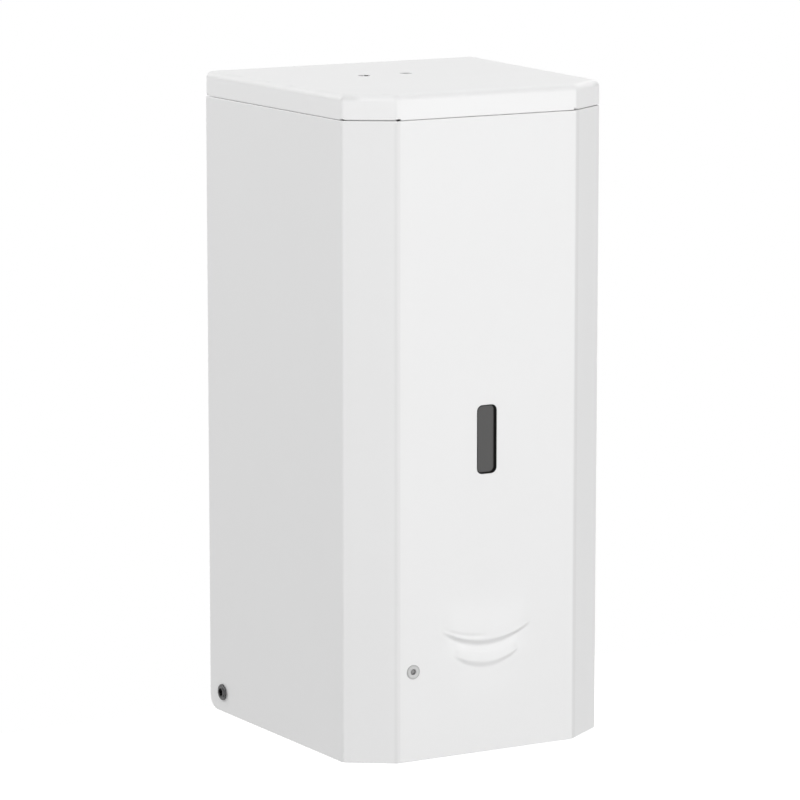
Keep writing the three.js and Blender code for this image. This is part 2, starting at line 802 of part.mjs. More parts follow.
// A channel of C section, open in front, whose closed rear end carries the spring.
function latchGuide() {
  const wall = latchGuideWall;
  const gap = clearance;
  const outer = block(latchX0 - gap - wall, latchX1 + gap + wall, guideFront, guideRear + wall,
    latchBottom - gap - wall, latchTop + gap + wall);
  const inner = block(latchX0 - gap, latchX1 + gap, guideFront - past, guideRear, latchBottom - gap,
    latchTop + gap);
  const below = block(latchX0 + latchLedge, latchX1 - latchLedge, guideFront - past, guideRear,
    latchBottom - 2 * wall, latchBottom);
  const keyHoles = keyHoleXs.map((x) => boreZ(latchTop + gap, latchTop + gap + wall, x, keyHoleY,
    keyHoleDiameter / 2 + gap));
  return cut(outer, inner, below, ...keyHoles);
}

class Helix extends THREE.Curve {
  constructor(radius, length, turns) {
    super();
    this.radius = radius;
    this.length = length;
    this.turns = turns;
  }

  getPoint(t) {
    const angle = 2 * Math.PI * this.turns * t;
    return new THREE.Vector3(this.radius * Math.cos(angle), this.length * t, this.radius * Math.sin(angle));
  }
}

function latchSpring() {
  const wire = latchSpringWire / 2;
  const coilRadius = (latchPlate + clearance) / 2 - wire;
  const stepsPerTurn = 8;
  const path = new Helix(coilRadius, latchSpringLength - latchSpringWire, latchSpringTurns);
  const geometry = new THREE.ExtrudeGeometry(circle(0, 0, wire), {
    steps: latchSpringTurns * stepsPerTurn, extrudePath: path, curveSegments: 2,
  });
  geometry.translate(keyHoleX, springFront + wire, (latchTop + latchBottom) / 2);
  return solid(geometry);
}

addPart('soap_tank', soapTank(), tankPlastic);
addPart('tank_cover', tankCover(), whitePlastic);
addPart('latch_catch', latchCatch(), zincSteel);
addPart('latch_slider', latchSlider(), zincSteel, latchJoint);
addPart('latch_guide', latchGuide(), greyPlastic, lidJoint);
addPart('latch_spring', latchSpring(), zincSteel, lidJoint);

// ---- Seal under the lid ----
// The dish that presses the seal on the tank's mouth, on posts beside the latch channel.
const mouthRimRadius = mouthRadius + mouthRimWidth;

function sealCarrier() {
  const disc = rodZ(carrierBottom, carrierTop, 0, mouthY, mouthRimRadius + carrierMargin, rimRound);
  const guideX = Math.max(latchX1, -latchX0) + clearance + latchGuideWall;
  const postX = guideX + clearance + carrierPostRadius;
  const posts = [];
  for (const x of [-postX, postX]) {
    for (const y of [mouthY - carrierPostPitch / 2, mouthY + carrierPostPitch / 2]) {
      posts.push(rodZ(carrierTop - weld, lidUnder - clearance, x, y, carrierPostRadius, smallRound));
    }
  }
  return join(disc, ...posts);
}

function lidSeal() {
  const top = sealBottom + sealThickness;
  const ring = rodZ(sealBottom, top, 0, mouthY, mouthRimRadius + sealOverlapOut, rimRound);
  return cut(ring, boreZ(sealBottom, top, 0, mouthY, mouthRadius - sealOverlapIn, rimRound));
}

addPart('seal_carrier', sealCarrier(), whitePlastic, lidJoint);
addPart('lid_seal', lidSeal(), blackRubber, lidJoint);

// ---- Tank shelf ----
const shelfInset = sheet + tankGap + panelInset;
const shelfRear = -plateThickness - clearance;

function tankShelf() {
  const half = widthAtChamfer / 2 - shelfInset;
  const tray = block(-half, half, frontY + shelfInset, shelfRear, shelfBottom, shelfTop);
  const leg = block(-half, half, shelfRear - bracketThickness, shelfRear, shelfBottom, shelfTop + tankBack);
  return cut(join(tray, leg), boreZ(shelfBottom, shelfTop, 0, outletY, spoutRadius + clearance));
}

addPart('tank_shelf', tankShelf(), zincSteel);

// ---- Gears ----
const addendum = addendumShare * gearModule;
const dedendum = dedendumShare * gearModule;

function pitchRadius(teeth) {
  return gearModule * teeth / 2;
}

// An involute spur gear outline with plain radial roots. Backlash thins each tooth.
function gearShape(teeth, phase, u, v) {
  const pitch = pitchRadius(teeth);
  const base = pitch * Math.cos(pressureAngle);
  const tip = pitch + addendum;
  const root = pitch - dedendum;
  const involute = (angle) => Math.tan(angle) - angle;
  const halfTooth = Math.PI / (2 * teeth) - backlash / (2 * pitch);
  const flank = (radius) => halfTooth + involute(pressureAngle)
    - (radius > base ? involute(Math.acos(base / radius)) : 0);
  const points = [];
  for (let i = 0; i < teeth; i += 1) {
    const middle = phase + 2 * Math.PI * i / teeth;
    const add = (radius, side) => {
      const angle = middle + side * flank(radius);
      points.push(new THREE.Vector2(u + radius * Math.cos(angle), v + radius * Math.sin(angle)));
    };
    [root, pitch, tip].forEach((radius) => add(radius, -1));
    [tip, pitch, root].forEach((radius) => add(radius, 1));
  }
  return new THREE.Shape(points);
}

// ---- Pump layout ----
// The pump body's pocket is just deeper than the rollers, on both sides of the hose's plane.
const pocketHalf = hoseRadius + rotorDiscRoom;
const pumpFront = outletY - pocketHalf;
const pocketRear = outletY + pocketHalf;
const pumpBodyRear = pocketRear + pumpWall;
const pumpCoverFront = pumpFront - clearance - pumpCoverThickness;
const bracketFront = pumpBodyRear + clearance;
const bracketRear = bracketFront + bracketThickness;
const slowFront = bracketRear + gearGap;
const slowRear = slowFront + slowGearWidth;
const fastFront = slowRear + gearGap;
const fastRear = fastFront + fastGearWidth;
const motorPlateFront = fastRear + gearGap;
const motorPlateRear = motorPlateFront + bracketThickness;
const motorFront = motorPlateRear + clearance;
const motorRear = motorFront + motorLength;

// All gear axes lie on one level line: rotor on the right, idler in the middle, motor on the left.
const idlerX = pumpX - pitchRadius(rotorTeeth) - pitchRadius(pinionTeeth);
const motorX = idlerX - pitchRadius(idlerTeeth) - pitchRadius(pinionTeeth);

// A tooth of the right-hand gear points left into a gap of the left-hand gear.
const toothLeft = Math.PI;
const gapRight = Math.PI / pinionTeeth;

function gearY(y0, y1, teeth, phase, x) {
  return grow(gearShape(teeth, phase, x, pumpZ), growForward, -y1, y1 - y0);
}

// ---- Pump ----
// The hose lies round the right-hand half of a track, pressed by three rollers that turn with the rotor.
const pocketRadius = trackRadius + hoseRadius + hoseGap;
const housingRadius = pocketRadius + pumpWall;
const rollerOrbit = trackRadius - hoseRadius - rollerRadius - hoseGap;
const rotorRadius = rollerOrbit + rollerRadius - rotorDiscInset;
const discFront = pumpFront + clearance;
const discRear = pocketRear - clearance;
const rotorJoint = jointAt(pumpX, outletY, pumpZ);
const idlerJoint = jointAt(idlerX, slowFront, pumpZ);
const pinionJoint = jointAt(motorX, fastFront, pumpZ);

// A round piece or hole about the rotor's axis.
function onRotorAxis(y0, y1, radius) {
  return rodY(y0, y1, pumpX, pumpZ, radius, rimRound);
}

function pumpBody() {
  const whole = onRotorAxis(pumpFront, pumpBodyRear, housingRadius);
  const pocket = onRotorAxis(pumpFront - past, pocketRear, pocketRadius);
  const shaftHole = onRotorAxis(pumpFront, pumpBodyRear + past, rotorShaftRadius + runningFit);
  // The wall is open on the left, where the hose comes in and goes out, and wider where it bends away.
  const left = pumpX - housingRadius - past;
  const entry = block(left, pumpX, pumpFront - past, pocketRear, pumpZ - pocketRadius, pumpZ + pocketRadius);
  const bends = block(left, hoseBend, pumpFront - past, pocketRear, pumpZ - 2 * housingRadius,
    pumpZ + 2 * housingRadius);
  return cut(whole, pocket, shaftHole, entry, bends);
}

function pumpCover() {
  const plate = onRotorAxis(pumpCoverFront, pumpFront - clearance, housingRadius);
  return cut(plate, onRotorAxis(pumpCoverFront - past, pumpFront, rotorNoseRadius + runningFit));
}

const rollerPlaces = Array.from({ length: rollerCount }, (_, i) => {
  const angle = 2 * Math.PI * i / rollerCount;
  return [pumpX + rollerOrbit * Math.cos(angle), pumpZ + rollerOrbit * Math.sin(angle)];
});

// Two discs and the roller pins between them, on one shaft with the driven gear.
function pumpRotor() {
  const front = onRotorAxis(discFront, discFront + rotorDisc, rotorRadius);
  const rear = onRotorAxis(discRear - rotorDisc, discRear, rotorRadius);
  const shaft = onRotorAxis(discFront, slowRear, rotorShaftRadius);
  const nose = onRotorAxis(pumpCoverFront, discFront + weld, rotorNoseRadius);
  const pins = rollerPlaces.map(([x, z]) => rodY(discFront + weld, discRear - weld, x, z, rollerPinRadius,
    smallRound));
  const gear = gearY(slowFront, slowRear, rotorTeeth, toothLeft, pumpX);
  return join(rear, front, shaft, nose, ...pins, gear);
}

function roller([x, z]) {
  const front = discFront + rotorDisc + clearance;
  const rear = discRear - rotorDisc - clearance;
  const body = rodY(front, rear, x, z, rollerRadius);
  return cut(body, boreY(front, rear, x, z, rollerPinRadius + runningFit, smallRound));
}

function idlerGear() {
  const slow = gearY(slowFront, slowRear, pinionTeeth, gapRight, idlerX);
  const fast = gearY(fastFront, fastRear, idlerTeeth, toothLeft, idlerX);
  const hub = rodY(slowRear - weld, fastFront + weld, idlerX, pumpZ, idlerPinRadius + idlerHubWall);
  const bore = boreY(slowFront, fastRear, idlerX, pumpZ, idlerPinRadius + runningFit, mediumRound);
  return cut(join(slow, fast, hub), bore);
}

function motorPinion() {
  const gear = gearY(fastFront, fastRear, pinionTeeth, gapRight, motorX);
  const shaft = rodY(fastFront, motorFront + motorShaftInside, motorX, pumpZ, motorShaftRadius, smallRound);
  return join(gear, shaft);
}

function motorCan() {
  const can = rodY(motorFront, motorRear, motorX, pumpZ, motorRadius);
  const boss = rodY(motorPlateFront + seatGap, motorFront + weld, motorX, pumpZ, motorBossRadius,
    mediumRound);
  const bore = boreY(motorPlateFront, motorFront + motorShaftInside, motorX, pumpZ,
    motorShaftRadius + runningFit, smallRound);
  return cut(join(can, boss), bore);
}

// Posts stand above and below the idler's rim, and beside the motor.
const standoffReach = pitchRadius(idlerTeeth) + addendum + standoffGap + standoffRadius;
const motorPlateLeft = motorX - motorRadius - motorPlateMargin;
const standoffs = [-1, 1].flatMap((way) => [
  [motorPlateLeft + standoffInset, pumpZ + way * motorRadius], [idlerX, pumpZ + way * standoffReach],
]);

function motorPlate() {
  const half = standoffReach + standoffInset;
  const right = idlerX + motorPlateMargin + standoffInset;
  const plate = block(motorPlateLeft, right, motorPlateFront, motorPlateRear, pumpZ - half, pumpZ + half);
  const posts = standoffs.map(([x, z]) => rodY(bracketRear + clearance, motorPlateFront + weld, x, z,
    standoffRadius, smallRound));
  const bossHole = boreY(motorPlateFront, motorPlateRear, motorX, pumpZ, motorBossRadius + clearance,
    mediumRound);
  const pinHole = boreY(motorPlateFront, motorPlateRear, idlerX, pumpZ, idlerPinRadius + runningFit,
    mediumRound);
  return cut(join(plate, ...posts), bossHole, pinHole);
}

// A plate that hangs from the tank shelf by its folded top.
function pumpBracket() {
  const right = pumpX + housingRadius + bracketMargin;
  const top = shelfBottom - clearance;
  const low = pumpZ - housingRadius - bracketBelow;
  const upright = block(motorPlateLeft, right, bracketFront, bracketRear, low, top);
  const flange = block(motorPlateLeft, right, bracketFront, bracketRear + bracketFlange,
    top - bracketThickness, top);
  const shaftHole = boreY(bracketFront, bracketRear, pumpX, pumpZ, rotorShaftRadius + clearance);
  const pinHole = boreY(bracketFront, bracketRear, idlerX, pumpZ, idlerPinRadius + runningFit, mediumRound);
  return cut(join(upright, flange), shaftHole, pinHole);
}

addPart('pump_bracket', pumpBracket(), zincSteel);
addPart('pump_body', pumpBody(), whitePlastic);
addPart('pump_cover', pumpCover(), whitePlastic);
addPart('pump_rotor', pumpRotor(), gearPlastic, rotorJoint);
rollerPlaces.forEach((place, i) => {
  const [x, z] = place;
  addPart(`roller_${i + 1}`, roller(place), greyPlastic, jointAt(x, outletY, z, rotorJoint));
});
addPart('idler_pin', rodY(bracketFront - idlerPinEnd, motorPlateRear + idlerPinEnd, idlerX, pumpZ,
  idlerPinRadius, mediumRound), zincSteel);
addPart('idler_gear', idlerGear(), gearPlastic, idlerJoint);
addPart('motor_pinion', motorPinion(), gearPlastic, pinionJoint);
addPart('motor', motorCan(), zincSteel);
addPart('motor_plate', motorPlate(), zincSteel);

// ---- Hose and nozzle ----
// A circular bend in the plane of the pump, from one angle through a sweep.
class Bend extends THREE.Curve {
  constructor(x, z, radius, from, sweep) {
    super();
    this.centre = new THREE.Vector2(x, z);
    this.radius = radius;
    this.from = from;
    this.sweep = sweep;
  }

  getPoint(t) {
    const angle = this.from + this.sweep * t;
    return new THREE.Vector3(this.centre.x + this.radius * Math.cos(angle), outletY,
      this.centre.y + this.radius * Math.sin(angle));
  }
}

// From the spout straight down, round a bend into the top of the track, round the track, and down to the
// nozzle.
function pumpHose() {
  const path = new THREE.CurvePath();
  const quarter = Math.PI / 2;
  const at = (x, z) => new THREE.Vector3(x, outletY, z);
  const top = pumpZ + trackRadius;
  const bottom = pumpZ - trackRadius;
  path.add(new THREE.LineCurve3(at(0, spoutEnd - clearance), at(0, top + hoseBend)));
  path.add(new Bend(hoseBend, top + hoseBend, hoseBend, 2 * quarter, quarter));
  path.add(new THREE.LineCurve3(at(hoseBend, top), at(pumpX, top)));
  path.add(new Bend(pumpX, pumpZ, trackRadius, quarter, -2 * quarter));
  path.add(new THREE.LineCurve3(at(pumpX, bottom), at(hoseBend, bottom)));
  path.add(new Bend(hoseBend, bottom - hoseBend, hoseBend, quarter, quarter));
  path.add(new THREE.LineCurve3(at(0, bottom - hoseBend), at(0, nozzleTop + clearance)));
  const wall = circle(0, 0, hoseRadius);
  wall.holes.push(circle(0, 0, hoseBore));
  return solid(new THREE.ExtrudeGeometry(wall, { steps: hoseSteps, extrudePath: path, curveSegments: 4 }));
}

// The nozzle stands in the panel's collar and reaches just short of the casing's lower edge.
function nozzle() {
  const tip = casingBottom + nozzleTipLift;
  const profile = [
    [nozzleBore, tip], [nozzleRadius - nozzleTaper, tip], [nozzleRadius, panelBottom],
    [nozzleRadius, nozzleTop], [nozzleBore, nozzleTop], [nozzleBore, tip],
  ];
  return lathe(profile.map(([radius, z]) => new THREE.Vector2(radius, z)), 0, outletY, largeRound);
}

// A profile of radius and height turned about an upright axis.
function lathe(profile, x, y, round) {
  const geometry = new THREE.LatheGeometry(profile, round);
  geometry.rotateX(Math.PI / 2);
  geometry.translate(x, y, 0);
  return solid(geometry);
}

addPart('pump_hose', pumpHose(), silicone);
addPart('nozzle', nozzle(), blackPlastic);

// ---- Bottom panel ----
const cellRowHalf = cellPitch * (cellCount - 1) / 2 + cellRadius;
const boxHalfX = cellRowHalf + clearance + boxWall;
const boxHalfY = cellRadius + clearance + boxWall;
const doorFront = batteryY - boxHalfY;
const doorAxisY = batteryY + boxHalfY - panelThickness / 2;
const doorAxisZ = (panelBottom + panelTop) / 2;
const switchX = widthAtWall / 2 - switchFromSide;
const knobX0 = switchX - switchKnob / 2;
const knobX1 = knobX0 + switchKnob;
const slotX0 = knobX0 - clearance;
const slotX1 = knobX1 + switchTravel + clearance;
const knobHalf = switchKnobDepth / 2;

function bottomPanel() {
  const low = panelBottom - past;
  const high = panelTop + past;
  const plate = grow(planShape(sheet + panelInset, -plateThickness - clearance), growUp, panelBottom,
    panelThickness);
  const flangeRoom = onBothSides(block(screwEndX - clearance, widthAtWall, -plateFlange - clearance, past,
    low, high));
  const collar = rodZ(panelTop - weld, panelTop + collarHeight, 0, outletY, nozzleRadius + collarWall);
  const nozzleHole = boreZ(panelBottom, panelTop + collarHeight, 0, outletY, nozzleRadius + runningFit);
  const sensorHole = block(-sensorWidth / 2 - clearance, sensorWidth / 2 + clearance,
    sensorY - sensorDepth / 2 - clearance, sensorY + sensorDepth / 2 + clearance, low, high);
  const doorway = block(-boxHalfX - doorMargin, boxHalfX + doorMargin, doorFront - doorMargin,
    doorAxisY + panelThickness / 2 + doorMargin, low, high);
  const pinReach = boxHalfX + doorMargin + doorPinLength;
  const pinHoles = rodX(-pinReach, pinReach, doorAxisY, doorAxisZ, doorPinRadius + runningFit, smallRound);
  const slotHalf = knobHalf + clearance;
  const slot = block(slotX0, slotX1, switchY - slotHalf, switchY + slotHalf, low, high);
  return cut(join(plate, collar), ...flangeRoom, nozzleHole, sensorHole, doorway, pinHoles, slot);
}

addPart('bottom_panel', bottomPanel(), whitePlastic);

// ---- Hand sensor ----
const diodeXs = { ir_emitter: -sensorPitch / 2, ir_receiver: sensorPitch / 2 };

// A piece that fills the sensor's outline between two levels.
function sensorBlock(z0, z1) {
  return block(-sensorWidth / 2, sensorWidth / 2, sensorY - sensorDepth / 2, sensorY + sensorDepth / 2,
    z0, z1);
}

function sensorHousing() {
  const top = insideFloor + sensorHeight;
  const wells = Object.values(diodeXs).map((x) => boreZ(insideFloor, top, x, sensorY, diodeRadius + clearance,
    mediumRound));
  return cut(sensorBlock(insideFloor, top), ...wells);
}

// A lamp body with a domed end that looks down.
function diode(x) {
  const low = insideFloor + diodeLift;
  const domeZ = low + diodeRadius;
  const profile = Array.from({ length: diodeSteps + 1 }, (_, i) => {
    const angle = Math.PI / 2 * i / diodeSteps;
    return new THREE.Vector2(diodeRadius * Math.sin(angle), domeZ - diodeRadius * Math.cos(angle));
  });
  profile.push(new THREE.Vector2(diodeRadius, low + diodeLength), new THREE.Vector2(0, low + diodeLength));
  return lathe(profile, x, sensorY, mediumRound);
}

addPart('sensor_window', sensorBlock(panelBottom, panelTop), smokedPlastic);
addPart('sensor_housing', sensorHousing(), blackPlastic);
for (const [name, x] of Object.entries(diodeXs)) {
  addPart(name, diode(x), blackPlastic);
}

// ---- Batteries ----
const cellBottom = insideFloor + contactThickness + 2 * clearance;
const cellTop = cellBottom + cellLength;
const contactBottom = cellTop + clearance;
const contactTop = contactBottom + contactThickness;
const boxTop = contactTop + clearance + boxWall;
const leadHoleX = boxHalfX - leadHoleInset;
const doorJoint = jointAt(0, doorAxisY, doorAxisZ);

function batteryBox() {
  const outer = block(-boxHalfX, boxHalfX, batteryY - boxHalfY, batteryY + boxHalfY, insideFloor, boxTop);
  const inner = block(-boxHalfX + boxWall, boxHalfX - boxWall, batteryY - boxHalfY + boxWall,
    batteryY + boxHalfY - boxWall, insideFloor - past, boxTop - boxWall);
  const leadHole = boreZ(boxTop - boxWall, boxTop, leadHoleX, batteryY, leadRadius + clearance, smallRound);
  return cut(outer, inner, leadHole);
}

// Cells stand side by side, every second one upside down.
function cell(i) {
  const x = (i - (cellCount - 1) / 2) * cellPitch;
  const upright = i % 2 === 0;
  const canBottom = upright ? cellBottom : cellBottom + cellButton;
  const canTop = upright ? cellTop - cellButton : cellTop;
  const buttonBottom = upright ? canTop - weld : cellBottom;
  const buttonTop = upright ? cellTop : canBottom + weld;
  return join(rodZ(canBottom, canTop, x, batteryY, cellRadius),
    rodZ(buttonBottom, buttonTop, x, batteryY, cellButtonRadius, smallRound));
}

function contactStrip() {
  const inset = contactInset + clearance;
  return block(-cellRowHalf, leadHoleX - leadRadius - inset - clearance, batteryY - cellRadius + inset,
    batteryY + cellRadius - inset, contactBottom, contactTop);
}

// The rear edge of the door is round about its two pins, and its front edge has a finger hollow.
function batteryDoor() {
  const plate = block(-boxHalfX, boxHalfX, doorFront, doorAxisY, panelBottom, panelTop);
  const knuckle = rodX(-boxHalfX, boxHalfX, doorAxisY, doorAxisZ, panelThickness / 2);
  const reach = boxHalfX + doorMargin + doorPinLength - clearance;
  const pins = rodX(-reach, reach, doorAxisY, doorAxisZ, doorPinRadius, smallRound);
  const grip = rodY(doorFront - past, doorFront + doorGripDepth, 0, panelBottom, doorGripRadius, mediumRound);
  return cut(join(plate, knuckle, pins), grip);
}

addPart('battery_box', batteryBox(), blackPlastic);
for (let i = 0; i < cellCount; i += 1) {
  addPart(`cell_${i + 1}`, cell(i), cellWrap);
}
addPart('contact_strip', contactStrip(), zincSteel);
addPart('battery_door', batteryDoor(), whitePlastic, doorJoint);

// ---- Power switch ----
const switchJoint = jointAt(switchX, switchY, panelBottom);
const wellHalf = knobHalf + clearance + seatGap;

function switchBody() {
  const half = wellHalf + switchWall;
  const body = block(slotX0 - switchEnd, slotX1 + switchEnd, switchY - half, switchY + half, insideFloor,
    insideFloor + switchHeight);
  const well = block(slotX0 - switchEnd + switchWall, slotX1 + switchEnd - switchWall, switchY - wellHalf,
    switchY + wellHalf, insideFloor - past, insideFloor + switchWell);
  return cut(body, well);
}

function switchSlider() {
  const footBottom = insideFloor + seatGap;
  const knob = block(knobX0, knobX1, switchY - knobHalf, switchY + knobHalf, panelBottom - switchKnobOut,
    footBottom + weld);
  const foot = block(knobX0 - switchFoot, knobX1 + switchFoot, switchY - knobHalf - seatGap,
    switchY + knobHalf + seatGap, footBottom, insideFloor + switchWell - clearance);
  return join(knob, foot);
}

addPart('switch_body', switchBody(), blackPlastic);
addPart('switch_slider', switchSlider(), blackPlastic, switchJoint);

// ---- Control board and leads ----
const boardBack = doorFront - boardBackGap;
const boardFront = boardBack - boardDepth;
const boardBottom = panelTop + boardLift;
const boardTop = boardBottom + boardHeight;
const boardX = widthAtChamfer / 2 - boardFromSide;
const boardFace = boardX - clearance;
const chipFront = (boardFront + boardBack - chipSize) / 2;
const socketBack = boardBack - leadSocketDepth / 3;
const socketFront = socketBack - leadSocketDepth;
const socketTop = boardTop - leadSocketDrop;

addPart('control_board', block(boardX, boardX + boardThickness, boardFront, boardBack, boardBottom, boardTop),
  boardGreen);
addPart('controller_chip', block(boardFace - chipThickness, boardFace, chipFront, chipFront + chipSize,
  boardBottom + chipLift, boardBottom + chipLift + chipSize), blackPlastic);
addPart('lead_socket', block(boardFace - leadSocketWidth, boardFace, socketFront, socketBack,
  socketTop - leadSocketHeight, socketTop), whitePlastic);

function lead(points) {
  const path = new THREE.CatmullRomCurve3(points.map(([x, y, z]) => new THREE.Vector3(x, y, z)));
  const stepsPerPoint = 6;
  return solid(new THREE.ExtrudeGeometry(circle(0, 0, leadRadius), {
    steps: stepsPerPoint * points.length, extrudePath: path, curveSegments: 4,
  }));
}

// Both leads end side by side on the face of the socket.
const leadEndX = boardFace - leadSocketWidth - clearance;
const leadEndZ = socketTop - leadSocketHeight / 2;
const batteryLeadY = socketBack - leadSocketDepth / 4;
const motorLeadY = socketFront + leadSocketDepth / 4;
const motorLeadZ = pumpZ + motorRadius / 2;
addPart('battery_lead', lead([
  [leadHoleX, batteryY, boxTop - boxWall], [leadHoleX, batteryY - leadRadius, boxTop + leadRise],
  [leadEndX - 2 * leadRun, (batteryY + boardBack) / 2 - leadBow, boxTop + leadCrest],
  [leadEndX - leadRun, batteryLeadY, leadEndZ], [leadEndX, batteryLeadY, leadEndZ],
]), redInsulation);
addPart('motor_lead', lead([
  [motorX, motorRear + clearance, motorLeadZ], [motorX, motorRear + motorLeadOut, motorLeadZ],
  [motorX + leadRun, motorRear + motorLeadOut, motorLeadZ + motorLeadRise],
  [motorX + motorLeadSwing, motorRear, motorLeadZ + motorLeadCrest],
  [leadEndX - 2 * leadRun, motorLeadY, leadEndZ], [leadEndX, motorLeadY, leadEndZ],
]), redInsulation);

export default dispenser;
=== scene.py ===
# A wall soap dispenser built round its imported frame: an enamelled sheet casing with a hinged lid, a level
# window, a hand sensor, a tank, a hose pump and batteries. Lengths are in millimetres until a mesh is made.
import json
import random
from math import atan2, cos, exp, hypot, pi, radians, sin, sqrt, tan
import bmesh
import bpy
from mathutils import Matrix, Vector
from mathutils.geometry import delaunay_2d_cdt


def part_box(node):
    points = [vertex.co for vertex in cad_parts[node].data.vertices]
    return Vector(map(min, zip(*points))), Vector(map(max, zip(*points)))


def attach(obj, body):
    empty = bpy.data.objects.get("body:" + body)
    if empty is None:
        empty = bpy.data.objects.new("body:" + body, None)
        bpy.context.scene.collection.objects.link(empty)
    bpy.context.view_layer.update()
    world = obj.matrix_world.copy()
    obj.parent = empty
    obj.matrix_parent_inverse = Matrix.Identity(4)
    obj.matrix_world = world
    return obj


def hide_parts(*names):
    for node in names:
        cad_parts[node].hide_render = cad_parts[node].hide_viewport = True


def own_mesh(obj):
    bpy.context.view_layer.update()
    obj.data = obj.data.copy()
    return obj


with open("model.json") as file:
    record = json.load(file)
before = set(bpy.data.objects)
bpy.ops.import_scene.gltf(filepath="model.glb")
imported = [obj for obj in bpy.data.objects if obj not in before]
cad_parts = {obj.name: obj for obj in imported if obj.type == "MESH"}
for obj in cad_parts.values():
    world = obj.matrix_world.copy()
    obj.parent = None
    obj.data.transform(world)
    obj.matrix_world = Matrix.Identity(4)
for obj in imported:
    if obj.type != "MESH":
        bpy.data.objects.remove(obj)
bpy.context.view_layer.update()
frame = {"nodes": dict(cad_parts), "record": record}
cadNodes = frame["nodes"]
slotOf = {row["node"]: row["material_slot"] for row in frame["record"]["subparts"]}
bodyOf = {node: body for body, members in frame["record"]["behaviour"]["bodies"].items() for node in members}
stageScene = bpy.context.scene
toMetres = 0.001
quarter = pi / 2


def boxOf(node):  # lowest and highest corners of a CAD node
    return [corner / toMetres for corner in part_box(node)]


def middleOf(node):
    return tuple((low + high) / 2 for low, high in zip(*boxOf(node)))


casingBottom, casingTop = (corner.z for corner in boxOf("front_casing"))
lidTop = boxOf("lid")[1].z

# Camera.
view = {
    "place": (-892.3, -1657.8, 195.95), "target": (-4.63, -60.34, -127.94),  # z counts from the casing's top
    "lens": 195.6, "sensor": 36.0, "clipEnd": 60000,
}


def linked(name, data):  # a new object in the scene
    made = bpy.data.objects.new(name, data)
    stageScene.collection.objects.link(made)
    return made


def aimed(name, data, place, target):
    made = linked(name, data)
    made.location = place * toMetres
    made.rotation_euler = (target - place).to_track_quat("-Z", "Y").to_euler()
    return made


def placeCamera():
    lens = bpy.data.cameras.new("roomLens")
    lens.lens = view["lens"]
    lens.sensor_width = view["sensor"]
    lens.clip_end = view["clipEnd"] * toMetres
    place, target = (Vector(view[key]) + Vector((0, 0, casingTop)) for key in ("place", "target"))
    stageScene.camera = aimed("camera", lens, place, target)


placeCamera()


# Node wiring, for finishes and for geometry trees.
class Wire:  # a shader socket that can be added, scaled and so on
    def __init__(self, wiring, socket):
        self.wiring = wiring
        self.socket = socket

    def math(self, operation, right=0.0, left=None):
        inputs = {0: self if left is None else left, 1: right}
        return self.wiring.wire("ShaderNodeMath", inputs, operation=operation)

    def __add__(self, other):
        return self.math("ADD", other)

    def __sub__(self, other):
        return self.math("SUBTRACT", other)

    def __rsub__(self, other):
        return self.math("SUBTRACT", self, other)

    def __mul__(self, other):
        return self.math("MULTIPLY", other)

    __radd__, __rmul__ = __add__, __mul__  # order makes no difference to these


class Wiring:  # a node tree being wired
    def __init__(self, tree):
        self.tree = tree

    def node(self, kind, inputs, **settings):  # makes one node and hands back its outputs
        node = self.tree.nodes.new(kind)
        for key, value in settings.items():
            setattr(node, key, value)
        for key, value in inputs.items():
            for one in value if isinstance(value, list) else [value]:
                one = one.socket if isinstance(one, Wire) else one
                if isinstance(one, bpy.types.NodeSocket):
                    self.tree.links.new(one, node.inputs[key])
                else:
                    node.inputs[key].default_value = one
        return node.outputs

    def wire(self, kind, inputs, output=0, **settings):
        return Wire(self, self.node(kind, inputs, **settings)[output])


class Finish(Wiring):  # one material and the nodes behind it
    def __init__(self, name):
        self.material = bpy.data.materials.new(name)
        self.material.use_nodes = True
        super().__init__(self.material.node_tree)
        self.tree.nodes.clear()
        self.coordinates = self.wire("ShaderNodeTexCoord", {}, "Object")

    def moved(self, centre=(0, 0, 0), scale=(1, 1, 1), turn=(0, 0, 0)):
        return self.wire("ShaderNodeMapping", {
            "Vector": self.coordinates, "Location": centre, "Scale": scale, "Rotation": turn})

    def noise(self, scale, detail=2.0, rough=0.5, vector=None):
        return self.wire("ShaderNodeTexNoise", {
            "Vector": vector or self.coordinates, "Scale": scale, "Detail": detail, "Roughness": rough}, "Fac")

    def cells(self, scale, feature="F1", output="Distance", vector=None, spread=1.0):
        return self.wire("ShaderNodeTexVoronoi", {
            "Vector": vector or self.coordinates, "Scale": scale, "Randomness": spread,
        }, output, feature=feature)

    def stored(self, name):  # a value that the mesh carries
        return self.wire("ShaderNodeAttribute", {}, "Fac", attribute_name=name)

    def split(self, vector=None):
        outputs = self.node("ShaderNodeSeparateXYZ", {"Vector": vector or self.coordinates})
        return [Wire(self, socket) for socket in outputs]

    def reach(self, node):  # x, y and z counted from the middle of a CAD node
        return self.split(self.moved(tuple(-middle * toMetres for middle in middleOf(node))))

    def ramp(self, factor, low, high):  # a clamped step from 0 at low to 1 at high
        return self.wire("ShaderNodeMapRange", {"Value": factor, "From Min": low, "From Max": high}, "Result",
                         clamp=True)

    def step(self, length, low, high):  # the same between two lengths
        return self.ramp(length, low * toMetres, high * toMetres)

    def mix(self, factor, first, second):
        return self.wire("ShaderNodeMix", {"Factor": factor, 6: first, 7: second}, 2, data_type="RGBA")

    def bump(self, height, strength, distance):
        return self.wire("ShaderNodeBump", {
            "Height": height, "Strength": strength, "Distance": distance * toMetres})

    def done(self, colour, rough, normal, more=None):
        shader = self.node("ShaderNodeBsdfPrincipled", {
            "Base Color": colour, "Roughness": rough, "Normal": normal, **(more or {})})
        self.node("ShaderNodeOutputMaterial", {0: shader[0]})
        return self.material


def grey(level, warmth=0.0):
    return (level + warmth, level, level - warmth, 1.0)


